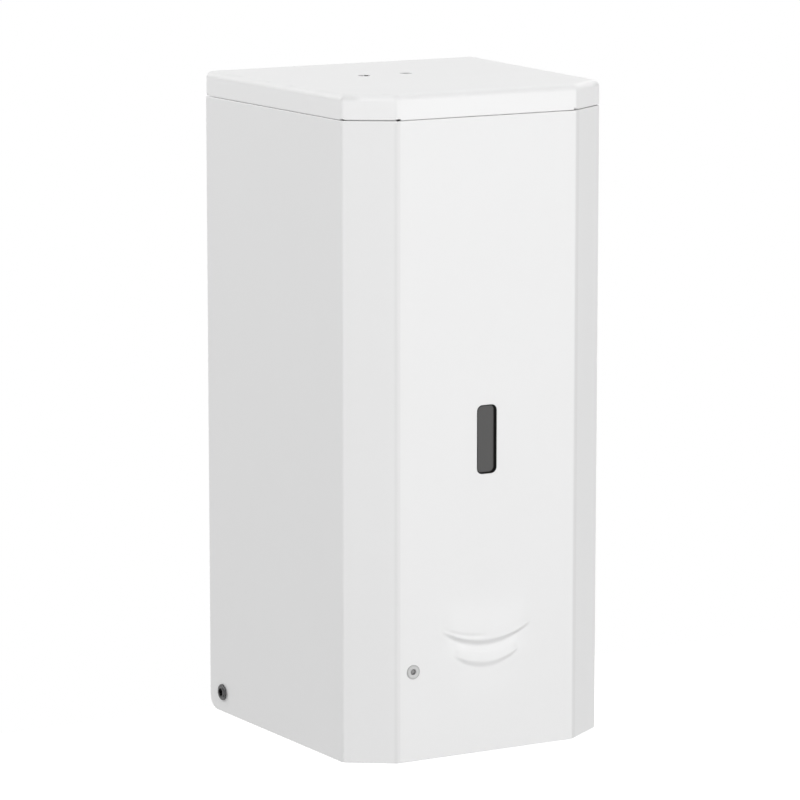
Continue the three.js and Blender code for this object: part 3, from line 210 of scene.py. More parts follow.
# Finishes.
paint = {
    "level": 0.90, "mottle": 0.012, "rough": 0.36, "peelScale": 950, "peel": 0.05, "nibs": 260, "nibTone": 0.93,
    # the bend tone below paints shade along the two front bends
    "bend": (41.7, 44.1), "bendShift": 0.6, "bendFront": 124.2, "bendShadeTone": 0.945, "lidBendShade": 0.45,
    # the fillet tone below paints shade on the lid's side fillets, and the lid lift paints light on its skirt
    "fillet": (55, 58), "filletDrops": (3.1, 2.1, 1.8), "filletShadeTone": 0.86,
    "skirtDrops": (1.9, 2.8), "skirtLightLift": 0.42,  # drops count down from the lid's top
}


def enamelFinish():
    f = Finish("whiteEnamel")
    level, spread, scale = paint["level"], paint["mottle"], paint["peelScale"]
    mottle = f.noise(14, 3) * 0.65 + f.noise(70, 2) * 0.35
    colour = f.mix(mottle, grey(level - spread, 0.001), grey(level + spread, -0.001))
    speck = f.ramp(f.cells(paint["nibs"]), 0.035, 0.02) * 0.5  # a few pin-sized dust nibs under the paint
    colour = f.mix(speck, colour, grey(level * paint["nibTone"], 0.004))
    x, y, z = f.split()
    across = (x - paint["bendShift"] * toMetres).math("ABSOLUTE")
    near, far = paint["bend"]
    front = -paint["bendFront"]
    # painted shade along the two front bends: the paint there is darker, and less so on the lid
    bend = f.step(across, near - 0.2, near + 0.2) * f.step(across, far + 0.4, far - 0.4)
    bend = bend * f.step(y, front + 0.3, front - 0.3)
    onLid = f.step(z, casingTop - 0.2, casingTop + 0.4)
    colour = f.mix(bend * (1 - onLid * (1 - paint["lidBendShade"])), colour, grey(level * paint["bendShadeTone"], 0.001))
    # painted shade on the lid's side fillets, which are darker, and painted light on its skirt, which is paler
    foot, shoulder, crown = (lidTop - drop for drop in paint["filletDrops"])
    edge = f.step(across, *paint["fillet"]) * f.step(z, foot, shoulder) * f.step(z, lidTop, crown)
    colour = f.mix(edge, colour, grey(level * paint["filletShadeTone"], 0.001))
    skirtLight = onLid * f.step(z, *(lidTop - drop for drop in paint["skirtDrops"]))
    colour = f.mix(skirtLight * paint["skirtLightLift"], colour, grey(1.0))
    peel = f.noise(scale, 2) + f.noise(scale * 0.28, 1) * 0.8 + speck * 0.4
    rough = f.noise(320, 3) * 0.10 + (paint["rough"] - 0.05)
    return f.done(colour, rough, f.bump(peel, paint["peel"], 0.2), {"IOR": 1.5})


def zincFinish():
    f = Finish("zincPlatedSteel")
    spangle = f.wire("ShaderNodeSeparateColor", {"Color": f.cells(190, "F1", "Color")})
    tone = spangle * 0.4 + f.noise(45, 4) * 0.6
    colour = f.mix(tone, (0.36, 0.37, 0.375, 1), (0.54, 0.55, 0.56, 1))
    streak = f.noise(60, 4, 0.6, f.moved(scale=(1, 1, 14)))
    height = streak * 0.5 + f.noise(1400, 2) * 0.5
    return f.done(colour, streak * 0.22 + 0.24, f.bump(height, 0.08, 0.08), {"Metallic": 1.0})


def screwFinish():
    f = Finish("darkStainless")
    grain = f.noise(1600, 4, 0.65)
    colour = f.mix(f.ramp(grain, 0.35, 0.65), (0.022, 0.022, 0.024, 1), (0.15, 0.15, 0.15, 1))
    _, y, z = f.reach("side_screw_left")
    socket = f.step((y * y + z * z).math("SQRT"), 1.85, 1.6)
    colour = f.mix(socket, colour, grey(0.004))  # painted shade: near black inside the hexagon socket
    return f.done(colour, grain * 0.25 + 0.35, f.bump(grain, 0.35, 0.06), {"Metallic": 1.0})


def cloudyFinish(name, dark, light, cloud, spread, rough, grain, strength, distance, more):
    f = Finish(name)
    tone = f.noise(*cloud)
    bump = f.bump(f.noise(*grain), strength, distance)
    return f.done(f.mix(tone, dark, light), tone * spread + rough, bump, more)


def smokedFinish(name, low, high, rough):
    return cloudyFinish(name, grey(low, 0.001), grey(high, 0.001), (55, 3), 0.06, rough, (700, 2), 0.03, 0.05,
                        {"IOR": 1.49})


def mouldedFinish(name, dark, light, rough, texture=1300, strength=0.14):
    f = Finish(name)
    colour = f.mix(f.noise(38, 4) * 0.7 + f.noise(420, 2) * 0.3, dark, light)
    spark = f.noise(texture, 3, 0.6)
    return f.done(colour, spark * 0.14 + rough, f.bump(spark, strength, 0.1))


def clearFinish(name, dark, light, rough, transmission, scatter):
    return cloudyFinish(name, dark, light, (26, 4), 0.12, rough, (240, 3), 0.1, 0.3, {
        "Transmission Weight": transmission, "IOR": 1.45, "Subsurface Weight": scatter,
        "Subsurface Radius": (0.004, 0.004, 0.004)})


def leadFinish():
    f = Finish("twinInsulation")
    colour = f.mix(f.stored("strand"), (0.42, 0.02, 0.015, 1), (0.02, 0.02, 0.022, 1))
    return f.done(colour, f.noise(500, 2) * 0.1 + 0.4, f.bump(f.noise(1500, 2), 0.1, 0.05))


def boardFinish():
    f = Finish("solderMask")
    track = f.cells(260, "DISTANCE_TO_EDGE", "Distance", f.moved(turn=(0.3, 0.1, 0.2)), 0.25)
    copper = f.ramp(track, 0.10, 0.07)
    colour = f.mix(copper, (0.012, 0.10, 0.045, 1), (0.03, 0.22, 0.09, 1))
    return f.done(colour, f.noise(900, 2) * 0.1 + 0.28, f.bump(copper, 0.3, 0.05))


def cellFinish():  # a printed sleeve with a copper-coloured band, and bare metal at both ends
    f = Finish("cellSleeve")
    along = f.stored("along")
    band = f.ramp(along, 36.4, 36.8)
    bare = f.ramp(along, 49.3, 49.36) + f.ramp(along, 0.24, 0.2)
    colour = f.mix(band, (0.025, 0.035, 0.05, 1), (0.62, 0.30, 0.14, 1))
    colour = f.mix(bare, colour, (0.72, 0.72, 0.7, 1))
    scuff = f.noise(160, 5, 0.6)
    metal = f.ramp(band + bare, 0.0, 1.2)
    return f.done(colour, scuff * 0.2 + 0.18, f.bump(scuff, 0.05, 0.05), {"Metallic": metal})


finishes = {
    "enamel": enamelFinish(),
    "zinc_steel": zincFinish(),
    "screw_steel": screwFinish(),
    "black_rubber": cloudyFinish("blackRubber", grey(0.005), grey(0.014), (90, 4), 0.2, 0.7, (1800, 3),
                                 0.2, 0.08, {"Specular IOR Level": 0.25}),
    "smoked_plastic": smokedFinish("smokedPane", 0.016, 0.021, 0.22),
    "white_plastic": mouldedFinish("whiteMoulding", grey(0.80, 0.004), grey(0.88, 0.002), 0.36),
    "grey_plastic": mouldedFinish("greyMoulding", grey(0.50), grey(0.60), 0.34),
    "black_plastic": mouldedFinish("blackMoulding", grey(0.018), grey(0.035), 0.38, 1500, 0.2),
    "tank_plastic": clearFinish("milkyTank", (0.78, 0.82, 0.80, 1), (0.90, 0.92, 0.91, 1), 0.28, 0.35, 0.25),
    "silicone": clearFinish("siliconeHose", (0.80, 0.79, 0.74, 1), (0.90, 0.89, 0.85, 1), 0.32, 0.3, 0.3),
    "gear_plastic": mouldedFinish("acetal", (0.80, 0.77, 0.66, 1), (0.88, 0.86, 0.77, 1), 0.3, 900, 0.06),
    "red_insulation": leadFinish(),
    "board_green": boardFinish(),
    "cell_wrap": cellFinish(),
}
lensFinish = smokedFinish("indicatorLens", 0.22, 0.28, 0.2)
print("stage: finishes")


# Mesh helpers.
def newPiece(name, points, edges=(), faces=()):
    mesh = bpy.data.meshes.new(name)
    mesh.from_pydata([Vector(p) * toMetres for p in points], edges, faces)
    return linked(name, mesh)


def closedUp(piece, sharpAngle=40, tight=2e-7, flatAngle=None):  # welds doubles and smooths shallow edges
    work = bmesh.new()
    work.from_mesh(piece.data)
    bmesh.ops.remove_doubles(work, verts=work.verts, dist=tight)
    if flatAngle:  # triangles of one flat face become one
        bmesh.ops.dissolve_limit(work, angle_limit=radians(flatAngle), verts=work.verts, edges=work.edges)
    else:
        bmesh.ops.recalc_face_normals(work, faces=work.faces)
    work.to_mesh(piece.data)
    work.free()
    piece.data.shade_smooth()
    piece.data.set_sharp_from_angle(angle=radians(sharpAngle))
    return piece


def meshPiece(name, points, faces, sharpAngle=40):
    return closedUp(newPiece(name, points, (), faces), sharpAngle)


def weighted(piece):
    normals = piece.modifiers.new("evenNormals", "WEIGHTED_NORMAL")
    normals.keep_sharp = True
    normals.weight = 100
    return piece


def painted(piece, finish):
    piece.data.materials.clear()
    piece.data.materials.append(finish)
    return piece


def standFor(piece, *names, finish=None):  # the piece takes over CAD nodes, with their body and their slot's finish
    slot = slotOf[names[0]]
    painted(piece, finish or finishes[slot])
    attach(piece, bodyOf[names[0]])
    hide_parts(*names)


def plainMesh(piece):  # the evaluated result of a piece's modifiers becomes its own mesh
    graph = bpy.context.evaluated_depsgraph_get()
    graph.update()
    mesh = bpy.data.meshes.new_from_object(piece.evaluated_get(graph), preserve_all_data_layers=True,
                                           depsgraph=graph)
    piece.modifiers.clear()
    piece.data = mesh
    mesh.name = piece.name
    return piece


def combine(piece, other, operation="DIFFERENCE"):  # cuts or adds another closed solid
    modifier = piece.modifiers.new(operation, "BOOLEAN")
    modifier.operation = operation
    modifier.solver = "EXACT"
    modifier.object = other
    plainMesh(piece)
    bpy.data.objects.remove(other)


def blockPiece(low, high):
    points = [(x, y, z) for z in (low[2], high[2]) for y in (low[1], high[1]) for x in (low[0], high[0])]
    faces = [(0, 2, 3, 1), (4, 5, 7, 6), (0, 1, 5, 4), (2, 6, 7, 3), (0, 4, 6, 2), (1, 3, 7, 5)]
    return meshPiece("block", points, faces)


def arcPoints(u, v, radius, start, sweep, steps):
    return [(u + radius * cos(start + sweep * i / steps), v + radius * sin(start + sweep * i / steps))
            for i in range(steps + 1)]


def circleLoop(u, v, radius, steps=32):
    return arcPoints(u, v, radius, 0, 4 * quarter, steps)[:-1]


def roundedPath(corners, steps, closed=True):  # corners (u, v, radius) to points with outward normals
    points = []
    last = len(corners) - 1
    spots = [Vector(corner[:2]) for corner in corners]
    for i, (u, v, radius) in enumerate(corners):
        here = spots[i]
        into, out = (here - spots[i - 1]).normalized(), (spots[i + 1 if i < last else 0] - here).normalized()
        if not closed and i == 0:
            into = out
        if not closed and i == last:
            out = into
        turn = atan2(into.x * out.y - into.y * out.x, into.dot(out))
        if radius <= 0 or abs(turn) < 1e-6:
            normal = (Vector((into.y, -into.x)) + Vector((out.y, -out.x))).normalized()
            points.append((u, v, normal.x, normal.y))
            continue
        side = 1 if turn > 0 else -1
        centre = here - into * (radius * tan(abs(turn) / 2)) + Vector((-into.y, into.x)) * radius * side
        start = Vector((into.y * side, -into.x * side))
        for step in range(steps + 1):
            c, s = cos(turn * step / steps), sin(turn * step / steps)
            normal = Vector((start.x * c - start.y * s, start.x * s + start.y * c))
            place = centre + normal * radius
            points.append((place.x, place.y, normal.x * side, normal.y * side))
    return points


def boxLoop(area, grown, steps=8):  # a rectangle with rounded lower and upper corners, grown all round
    u0, u1, v0, v1 = area["span"]
    low, high = (max(radius + grown, 0) for radius in area["radii"])
    corners = [(u0 - grown, v0 - grown, low), (u1 + grown, v0 - grown, low),
               (u1 + grown, v1 + grown, high), (u0 - grown, v1 + grown, high)]
    return [point[:2] for point in roundedPath(corners, steps)]


def boxDistance(area, u, v):  # negative inside the rounded rectangle
    u0, u1, v0, v1 = area["span"]
    radius = area["radii"][0] if v < (v0 + v1) / 2 else area["radii"][1]
    du = abs(u - (u0 + u1) / 2) - (u1 - u0) / 2 + radius
    dv = abs(v - (v0 + v1) / 2) - (v1 - v0) / 2 + radius
    return hypot(max(du, 0), max(dv, 0)) + min(max(du, dv), 0) - radius


def boxArea(u, v, width, height, corner):
    return {"span": (u - width / 2, u + width / 2, v - height / 2, v + height / 2), "radii": (corner, corner)}


def triangulate(loops, extraPoints=(), extraEdges=()):  # a flat mesh that keeps every loop and edge
    points, edges = [], []
    for loop in loops:
        first = len(points)
        points += loop
        edges += [(first + i, first + (i + 1) % len(loop)) for i in range(len(loop))]
    for ends in extraEdges:
        edges.append((len(points), len(points) + 1))
        points += ends
    points += extraPoints
    flat = delaunay_2d_cdt([Vector(p) for p in points], edges, [], 0, 1e-5)
    corners = [tuple(p) for p in flat[0]]
    faces = [list(face) for face in flat[2]]
    middles = [[sum(corners[i][axis] for i in face) / 3 for axis in (0, 1)] for face in faces]
    return corners, faces, middles


def foldedSheet(name, path, sheet, outline, holes, rim, press, grid):
    # a flat blank with rounded rims, bent along a path (u along it, v upwards) and given its thickness
    along = [0.0]
    for a, b in zip(path, path[1:]):
        along.append(along[-1] + hypot(b[0] - a[0], b[1] - a[1]))
    shares = (0.0, 0.3, 1.0)  # how far in from an edge the rim's rounding is cut
    loops = [boxLoop(outline, -rim * share) for share in shares]
    loops += [boxLoop(hole, rim * share) for hole in holes for share in shares]
    low, high = outline["span"][2:]
    flat, triangles, middles = triangulate(loops, grid, [((u, low), (u, high)) for u in along[1:-1]])
    kept = [face for face, (u, v) in zip(triangles, middles)
            if boxDistance(outline, u, v) < 0 and all(boxDistance(hole, u, v) > 0 for hole in holes)]
    used = sorted({i for face in kept for i in face})
    index = {old: new for new, old in enumerate(used)}
    kept = [[index[i] for i in face] for face in kept]
    outer, inner = [], []
    for u, v in (flat[i] for i in used):
        edge = min([-boxDistance(outline, u, v)] + [boxDistance(hole, u, v) for hole in holes])
        edge = min(max(edge, 0), rim)
        sink = rim - sqrt(max(rim * rim - (rim - edge) ** 2, 0))
        k = next((k for k in range(1, len(along) - 1) if u <= along[k]), len(along) - 1)
        share = (u - along[k - 1]) / (along[k] - along[k - 1])
        x, y, normalX, normalY = (a + (b - a) * share for a, b in zip(path[k - 1], path[k]))
        normal = Vector((normalX, normalY)).normalized()
        raised = press(u, v)
        for side, height in ((outer, raised - sink), (inner, raised - sheet + sink)):
            side.append((x + normal.x * height, y + normal.y * height, v))
    count = len(used)
    faces = [tuple(face) for face in kept] + [tuple(i + count for i in reversed(face)) for face in kept]
    sides = dict.fromkeys((a, b) for face in kept for a, b in zip(face, face[1:] + face[:1]))
    faces += [(b, a, a + count, b + count) for a, b in sides if (b, a) not in sides]
    return weighted(meshPiece(name, outer + inner, faces, 50))


def skin(count, rings, first=0):  # the faces between rings of equal count
    faces = []
    for low in range(first, first + (rings - 1) * count, count):
        faces += [(low + i, low + (i + 1) % count, low + count + (i + 1) % count, low + count + i)
                  for i in range(count)]
    return faces


def ringStack(name, rings, sharpAngle=40, capped=True):
    count = len(rings[0])
    faces = skin(count, len(rings))
    if capped:
        last = (len(rings) - 1) * count
        faces += [tuple(reversed(range(count))), tuple(range(last, last + count))]
    return meshPiece(name, [p for ring in rings for p in ring], faces, sharpAngle)


def turned(name, profile, centre, axis, steps=48, sharpAngle=35):  # the profile is (radius, along the axis)
    points, faces = [], []
    for c, s in circleLoop(0, 0, 1, steps):
        for radius, along in profile:
            offset = {"X": (along, radius * c, radius * s), "Y": (radius * c, along, radius * s),
                      "Z": (radius * c, radius * s, along)}[axis]
            points.append(tuple(a + b for a, b in zip(centre, offset)))
    count = len(profile)
    for i in range(steps):
        here, there = i * count, (i + 1) % steps * count
        for k in range(count):
            m = (k + 1) % count
            if max(profile[k][0], profile[m][0]) > 1e-9:
                faces.append((here + k, there + k, there + m, here + m))
    return weighted(meshPiece(name, points, faces, sharpAngle))


def rod(radius, half, centre, axis, steps):  # a plain round bar to cut with
    profile = [(0, -half), (radius, -half), (radius, half), (0, half)]
    return plainMesh(turned("rod", profile, centre, axis, steps))


def softened(name, node, width, angle=32):  # a copy of a CAD node with its hard edges eased
    piece = closedUp(linked(name, cadNodes[node].data.copy()), angle, 2e-6, 0.6)
    piece.data.name = name
    bevel = piece.modifiers.new("easedEdges", "BEVEL")
    bevel.width = width * toMetres
    bevel.segments = 2
    bevel.limit_method = "ANGLE"
    bevel.angle_limit = radians(angle)
    bevel.miter_outer = "MITER_ARC"
    standFor(weighted(piece), node)


# Casing.
casing = {
    "halfAtWall": 66.5, "halfAtChamfer": 61.5, "chamferWidth": 19.2, "chamferDepth": 12.8, "depth": 126.3,
    "rear": -1.0, "sheet": 1.2, "sideBend": 2.0, "frontBend": 2.5, "leastBend": 0.4, "bendSteps": 6,
    "rim": 0.25, "lowerCorner": 6.2, "upperCorner": 0.4, "screwBack": 12.3,
    # width, height and corner of the holes, and the slot's middle above the pane's
    "slot": (9.4, 29.0, 2.5), "screwHole": (4.6, 4.6, 2.3), "bezelHole": (4.92, 4.92, 2.46), "slotLift": 0.33,
}
sideDepth = casing["depth"] - casing["chamferDepth"]
sideSlope = (casing["halfAtWall"] - casing["halfAtChamfer"]) / sideDepth
cutSlope = casing["chamferWidth"] / casing["chamferDepth"]
frontY = -casing["depth"]
windowZ = middleOf("window_pane")[2] + casing["slotLift"]


def planX(slope, y, inset):  # x on a side or a cut corner of the plan
    return casing["halfAtChamfer"] + slope * (y + sideDepth) - inset * hypot(1, slope)


def planCorners(inset, rearY, extraBend=0.0):  # the casing's plan from left rear to right rear
    line = frontY + inset
    cornerY = (planX(sideSlope, 0, inset) - planX(cutSlope, 0, inset)) / (cutSlope - sideSlope)
    front, side = (max(casing[bend] + extraBend - inset, casing["leastBend"])
                   for bend in ("frontBend", "sideBend"))
    rows = ((cutSlope, line, front), (sideSlope, cornerY, side), (sideSlope, rearY, 0))
    right = [(planX(slope, y, inset), y, radius) for slope, y, radius in rows]
    return [(-x, y, radius) for x, y, radius in reversed(right)] + right


relief = {
    "upper": {"half": 22.0, "ends": 54.6, "sag": 5.9, "swell": 17.0, "rise": 1.0, "lip": 0.18, "drop": 3.0,
              "sink": 0.85, "settle": 12.0},
    "lower": {"half": 16.0, "ends": 43.5, "sag": 4.5, "swell": 6.5, "rise": 0.66, "lip": 0.12, "drop": 2.6,
              "sink": 0.45, "settle": 16.0},
    "lipWidth": 1.2, "taper": 3.0, "fade": 6.0, "meet": 0.3,
    "crease": {"half": 11.0, "centre": -10.5, "above": 1.75, "tilt": 0.06, "depth": 0.42, "width": 0.6},
    "field": (44, 58, 18), "step": 0.55,  # width, height, foot and spacing of the points under the shapes
}


def smoothStep(t):
    t = min(max(t, 0.0), 1.0)
    return t * t * (3 - 2 * t)


def wave(shape, x, z):  # (swell above the sagging edge, hollow under it)
    t = abs(x) / shape["half"]
    if t >= 1:
        return 0.0, 0.0
    above = z - (casingBottom + shape["ends"] - shape["sag"] * (1 - t * t))
    taper, fade = smoothStep((1 - t) * relief["taper"]), smoothStep((1 - t) * relief["fade"])
    if above >= 0:
        lip = shape["lip"] * fade * (1 - smoothStep(above / relief["lipWidth"]))
        return shape["rise"] * taper * (1 - smoothStep(above / shape["swell"])) + lip, 0.0
    fallen = 1 - smoothStep(1 + above / (shape["drop"] * (1 - t * t / 2)))
    full = shape["rise"] * taper + shape["lip"] * fade
    return full * (1 - fallen), shape["sink"] * taper * fallen * (1 - smoothStep(-above / shape["settle"]))


def stamped(x, z):  # how far the sheet stands out, from both waves and the crease over them
    upper, crease = relief["upper"], relief["crease"]
    swellHigh, hollowHigh = wave(upper, x, z)
    swellLow, hollowLow = wave(relief["lower"], x, z)
    height = max(swellHigh, swellLow) - hollowHigh * (1 - smoothStep(swellLow / relief["meet"])) - hollowLow
    t = (x - crease["centre"]) / crease["half"]
    if abs(t) < 1:
        edge = casingBottom + upper["ends"] - upper["sag"] * (1 - (x / upper["half"]) ** 2)
        edge += crease["above"] + crease["tilt"] * x
        height -= crease["depth"] * smoothStep((1 - abs(t)) * 2) * exp(-((z - edge) / crease["width"]) ** 2)
    return height


def buildCasing():
    path = roundedPath(planCorners(0, casing["rear"]), casing["bendSteps"], closed=False)
    length = sum(hypot(b[0] - a[0], b[1] - a[1]) for a, b in zip(path, path[1:]))
    middle = length / 2
    outline = {"span": (0, length, casingBottom, casingTop),
               "radii": (casing["lowerCorner"], casing["upperCorner"])}
    screwU = (casing["screwBack"] + casing["rear"]) * hypot(1, sideSlope)
    screwZ = middleOf("side_screw_left")[2]
    bezelX, _, bezelZ = middleOf("indicator_bezel")
    bezel = boxArea(middle + bezelX, bezelZ, *casing["bezelHole"])
    screws = [boxArea(u, screwZ, *casing["screwHole"]) for u in (screwU, length - screwU)]
    holes = [boxArea(middle, windowZ, *casing["slot"]), bezel, *screws]
    width, height, foot = relief["field"]
    step = relief["step"]
    grid = [(middle - width / 2 + (column + 0.5 * (row % 2)) * step, casingBottom + foot + row * step)
            for row in range(int(height / step)) for column in range(int(width / step))]
    grid = [(u, v) for u, v in grid if boxDistance(bezel, u, v) > 1]
    piece = foldedSheet("casingShell", path, casing["sheet"], outline, holes, casing["rim"],
                        lambda u, v: stamped(u - middle, v), grid)
    standFor(piece, "front_casing")


buildCasing()
print("stage: casing")


# Lid.
lid = {
    "wall": 1.5, "fillet": 2.9, "filletSteps": 8, "innerFillet": 2.0, "innerSteps": 5, "rim": 0.28, "ease": 0.2,
    "extraBend": 0.3, "bendSteps": 8, "rearShare": 0.3, "rearCorner": 0.8,
    "gap": 0.19, "cutGap": 0.14, "cornerGap": 0.15, "cornerReach": 0.9,
    "lipOut": 1.8, "lipIn": 2.8, "lipDrop": 1.9,
    "keyHole": 2.75, "keyRim": 0.08, "keyPitch": 20.0, "keyX": -6.6, "keyY": -51.0,
    "hingeY": -4.5, "hingeDrop": 4.1, "ear": (36.0, 41.0), "earRoot": 0.4, "eye": 2.2, "pinHole": 1.06,
    "pinRun": 4, "notch": (41.0, 44.6), "notchDrop": 3, "sweep": 6.3, "behind": (90, 40, 10), "past": 5,
    "relief": (1.8, 0.5), "reliefRun": (-1, 6), "reliefDrop": 4, "reliefAim": (0, -80),  # the cuts at the bends
}
hingeY, hingeZ = lid["hingeY"], lidTop - lid["hingeDrop"]
keyCentres = [(lid["keyX"] + side * lid["keyPitch"] / 2, lid["keyY"]) for side in (-1, 1)]
extraNodes = {"beside": (0.5, 1.2, 2.4), "shortest": 8, "bulge": 0.08}


def moreNodes(points):  # extra points beside the bends of a plan line, so a change there stays short
    loop = []
    for i, (x, y, nx, ny) in enumerate(points):
        loop.append((x, y))
        ex, ey = points[(i + 1) % len(points)][:2]
        length = hypot(ex - x, ey - y)
        if length > extraNodes["shortest"]:
            near = extraNodes["beside"]
            for place in [*near, *(length - distance for distance in reversed(near))]:
                share = place / length
                bulge = extraNodes["bulge"] * share * (1 - share)  # which keeps the cap's corners apart
                loop.append((x + (ex - x) * share + nx * bulge, y + (ey - y) * share + ny * bulge))
    return loop


def lidLoop(inset, z, rearShare=1.0, lift=0.0):
    corners = planCorners(inset, casing["rear"] - inset * rearShare, lid["extraBend"])
    bends = [corner[:2] for corner in corners[1:-1]]
    for end in (0, -1):
        corners[end] = (*corners[end][:2], lid["rearCorner"])
    loop = []
    for x, y in moreNodes(roundedPath(corners, lid["bendSteps"])):
        nearest = min(hypot(x - bendX, y - bendY) for bendX, bendY in bends)
        rise = lid["cornerGap"] * exp(-(nearest / lid["cornerReach"]) ** 2)  # the edge rides up at each bend
        if abs(x) > casing["halfAtChamfer"] - casing["chamferWidth"] and y < -sideDepth:
            rise += lid["cutGap"]
        loop.append((x, y, z + lift * rise))
    return loop


def inLoop(loop, x, y):
    inside = False
    for a, b in zip(loop, loop[1:] + loop[:1]):
        if (a[1] > y) != (b[1] > y) and x < a[0] + (b[0] - a[0]) * (y - a[1]) / (b[1] - a[1]):
            inside = not inside
    return inside


def lidFace(loop, radius, z):  # a flat face between a loop and the key holes
    holes = [circleLoop(x, y, radius) for x, y in keyCentres]
    flat, triangles, middles = triangulate([[p[:2] for p in loop]] + holes)
    kept = [face for face, (x, y) in zip(triangles, middles)
            if inLoop(loop, x, y) and all(hypot(x - u, y - v) > radius * 0.999 for u, v in keyCentres)]
    return [(*p, z) for p in flat], kept


def reliefCut(x, y, bottom):
    width, height = lid["relief"]
    inwards = (Vector(lid["reliefAim"]) - Vector((x, y))).normalized()
    aside = Vector((inwards.y, -inwards.x)) * width / 2
    start, end = (Vector((x, y)) + inwards * reach for reach in lid["reliefRun"])
    corners = (start - aside, start + aside, end + aside, end - aside)
    levels = (bottom - lid["reliefDrop"], bottom + height)
    return ringStack("relief", [[(*corner, z) for corner in corners] for z in levels])


def buildLid():
    top, bottom = lidTop, casingTop + lid["gap"]
    under, foot = top - lid["wall"], casingTop - lid["lipDrop"]
    rim, ease, fillet, inner = lid["rim"], lid["ease"], lid["fillet"], lid["innerFillet"]
    lipIn, lipOut = lid["lipIn"], lid["lipOut"]
    # from the underside's rounded corner down to the lip that hangs within the casing
    section = arcPoints(lipIn + inner, under - inner, inner, quarter, quarter, lid["innerSteps"])[:-1]
    section += [(lipIn, foot + ease), (lipIn - ease, foot), (lipOut + ease, foot), (lipOut, foot + ease)]
    # out to the lid's own edge, and up its side to the rounded top
    edge = [(lipOut, bottom + ease / 2), (lipOut - ease / 2, bottom), (rim, bottom),
            (0.3 * rim, bottom + 0.3 * rim), (0, bottom + rim)]
    section += [(inset, z, 1.0, 1.0) for inset, z in edge] + [(0, bottom + lid["relief"][1] + 0.5)]
    rounded = arcPoints(fillet, top - fillet, fillet, 2 * quarter, -quarter, lid["filletSteps"])
    section += [(inset, z, lid["rearShare"]) for inset, z in rounded]
    rings = [lidLoop(*row) for row in section]
    points = [p for ring in rings for p in ring]
    faces = skin(len(rings[0]), len(rings))
    hole, hem = lid["keyHole"], lid["keyRim"]
    for loop, radius, z in ((rings[-1], hole + hem, top), (rings[0], hole, under)):
        more, triangles = lidFace(loop, radius, z)
        faces += [tuple(i + len(points) for i in face) for face in triangles]
        points += more
    for x, y in keyCentres:
        levels = [(hem, top), (0.3 * hem, top - 0.3 * hem), (0, top - hem), (0, under)]
        wall = [[(u, v, z) for u, v in circleLoop(x, y, hole + grown)] for grown, z in levels]
        faces += skin(len(wall[0]), len(wall), len(points))
        points += [p for ring in wall for p in ring]
    piece = meshPiece("lidShell", points, faces, 50)
    eye = lid["eye"]
    for side in (-1, 1):
        x0, x1 = sorted(side * x for x in lid["ear"])
        ear = blockPiece((x0, hingeY - eye, hingeZ - eye), (x1, hingeY + eye, under + lid["earRoot"]))
        combine(piece, ear, "UNION")
        x0, x1 = sorted(side * x for x in lid["notch"])
        notch = blockPiece((x0, hingeY - eye, bottom - lid["notchDrop"]), (x1, lid["past"], under))
        combine(piece, notch)
        pin = rod(lid["pinHole"], lid["pinRun"], (side * sum(lid["ear"]) / 2, hingeY, hingeZ), "X", 24)
        combine(piece, pin)
    for x, y, radius in planCorners(0, casing["rear"])[1:-1]:  # through the edge and its lip, one at each bend
        combine(piece, reliefCut(x, y, bottom))
    half, rear, below = lid["behind"]  # the rear edge keeps clear of the swing
    behind = blockPiece((-half, hingeY, bottom - below), (half, rear, hingeZ))
    combine(behind, rod(lid["sweep"], half + lid["past"], (0, hingeY, hingeZ), "X", 96))
    combine(piece, behind)
    standFor(weighted(closedUp(piece, 50)), "lid")


buildLid()
print("stage: lid")


# Window.
window = {"lining": 0.32, "flange": 3.3, "paneEdge": 0.5, "paneDepth": 1.25, "slack": 0.05}


def slotRings(section):  # a ring round the slot for each (growth, y)
    area = boxArea(0, windowZ, *casing["slot"])
    return [[(u, y, v) for u, v in boxLoop(area, grown)] for grown, y in section]


def buildWindow():
    low, high = boxOf("window_gasket")
    lip, flange = -window["lining"], window["flange"]
    # a rubber lining that passes through the slot and spreads behind the sheet
    rings = slotRings([
        (lip, frontY + 0.15), (-0.1, frontY + 0.05), (-0.03, frontY + 0.18), (-0.03, low.y - 0.05),
        (flange - 0.15, low.y), (flange, low.y + 0.15), (flange, high.y - 0.15), (flange - 0.15, high.y),
        (lip + 0.1, high.y), (lip, high.y - 0.1)])
    standFor(weighted(ringStack("windowLining", rings + rings[:1], capped=False)), "window_gasket")
    low, high = boxOf("window_pane")
    border = (high.x - low.x - casing["slot"][0]) / 2
    face, inner, edge = frontY + window["paneDepth"], lip - window["slack"], window["paneEdge"]
    rings = slotRings([
        (inner - 0.12, face), (inner - 0.04, face + 0.04), (inner, face + 0.12), (inner, low.y),
        (border - edge, low.y), (border - 0.3 * edge, low.y + 0.3 * edge), (border, low.y + edge),
        (border, high.y - 0.2), (border - 0.2, high.y)])
    standFor(weighted(ringStack("levelPane", rings)), "window_pane")


buildWindow()


# Level light and screws.
light = {
    "rim": 3.05, "bevel": (0.75, 0.35), "eye": 1.22, "bore": 1.51, "sleeve": 2.4, "rimShadeTone": 0.46,
    "faceTone": 0.62, "lensBack": 0.3, "lensSlack": 0.03, "dome": 0.45, "domeSteps": 8,
}


def bezelFinish():  # translucent grey plastic, with painted shade round its rim
    f = Finish("lightBezel")
    x, _, z = f.reach("indicator_bezel")
    rim = f.step((x * x + z * z).math("SQRT"), *(light["rim"] - inset for inset in light["bevel"]))
    cloud = f.noise(300, 2) * 0.05
    tone = f.mix(rim, grey(light["faceTone"]), grey(light["rimShadeTone"]))
    return f.done(f.mix(cloud, tone, grey(1.0)), cloud + 0.3, f.bump(f.noise(1500, 2), 0.05, 0.05))


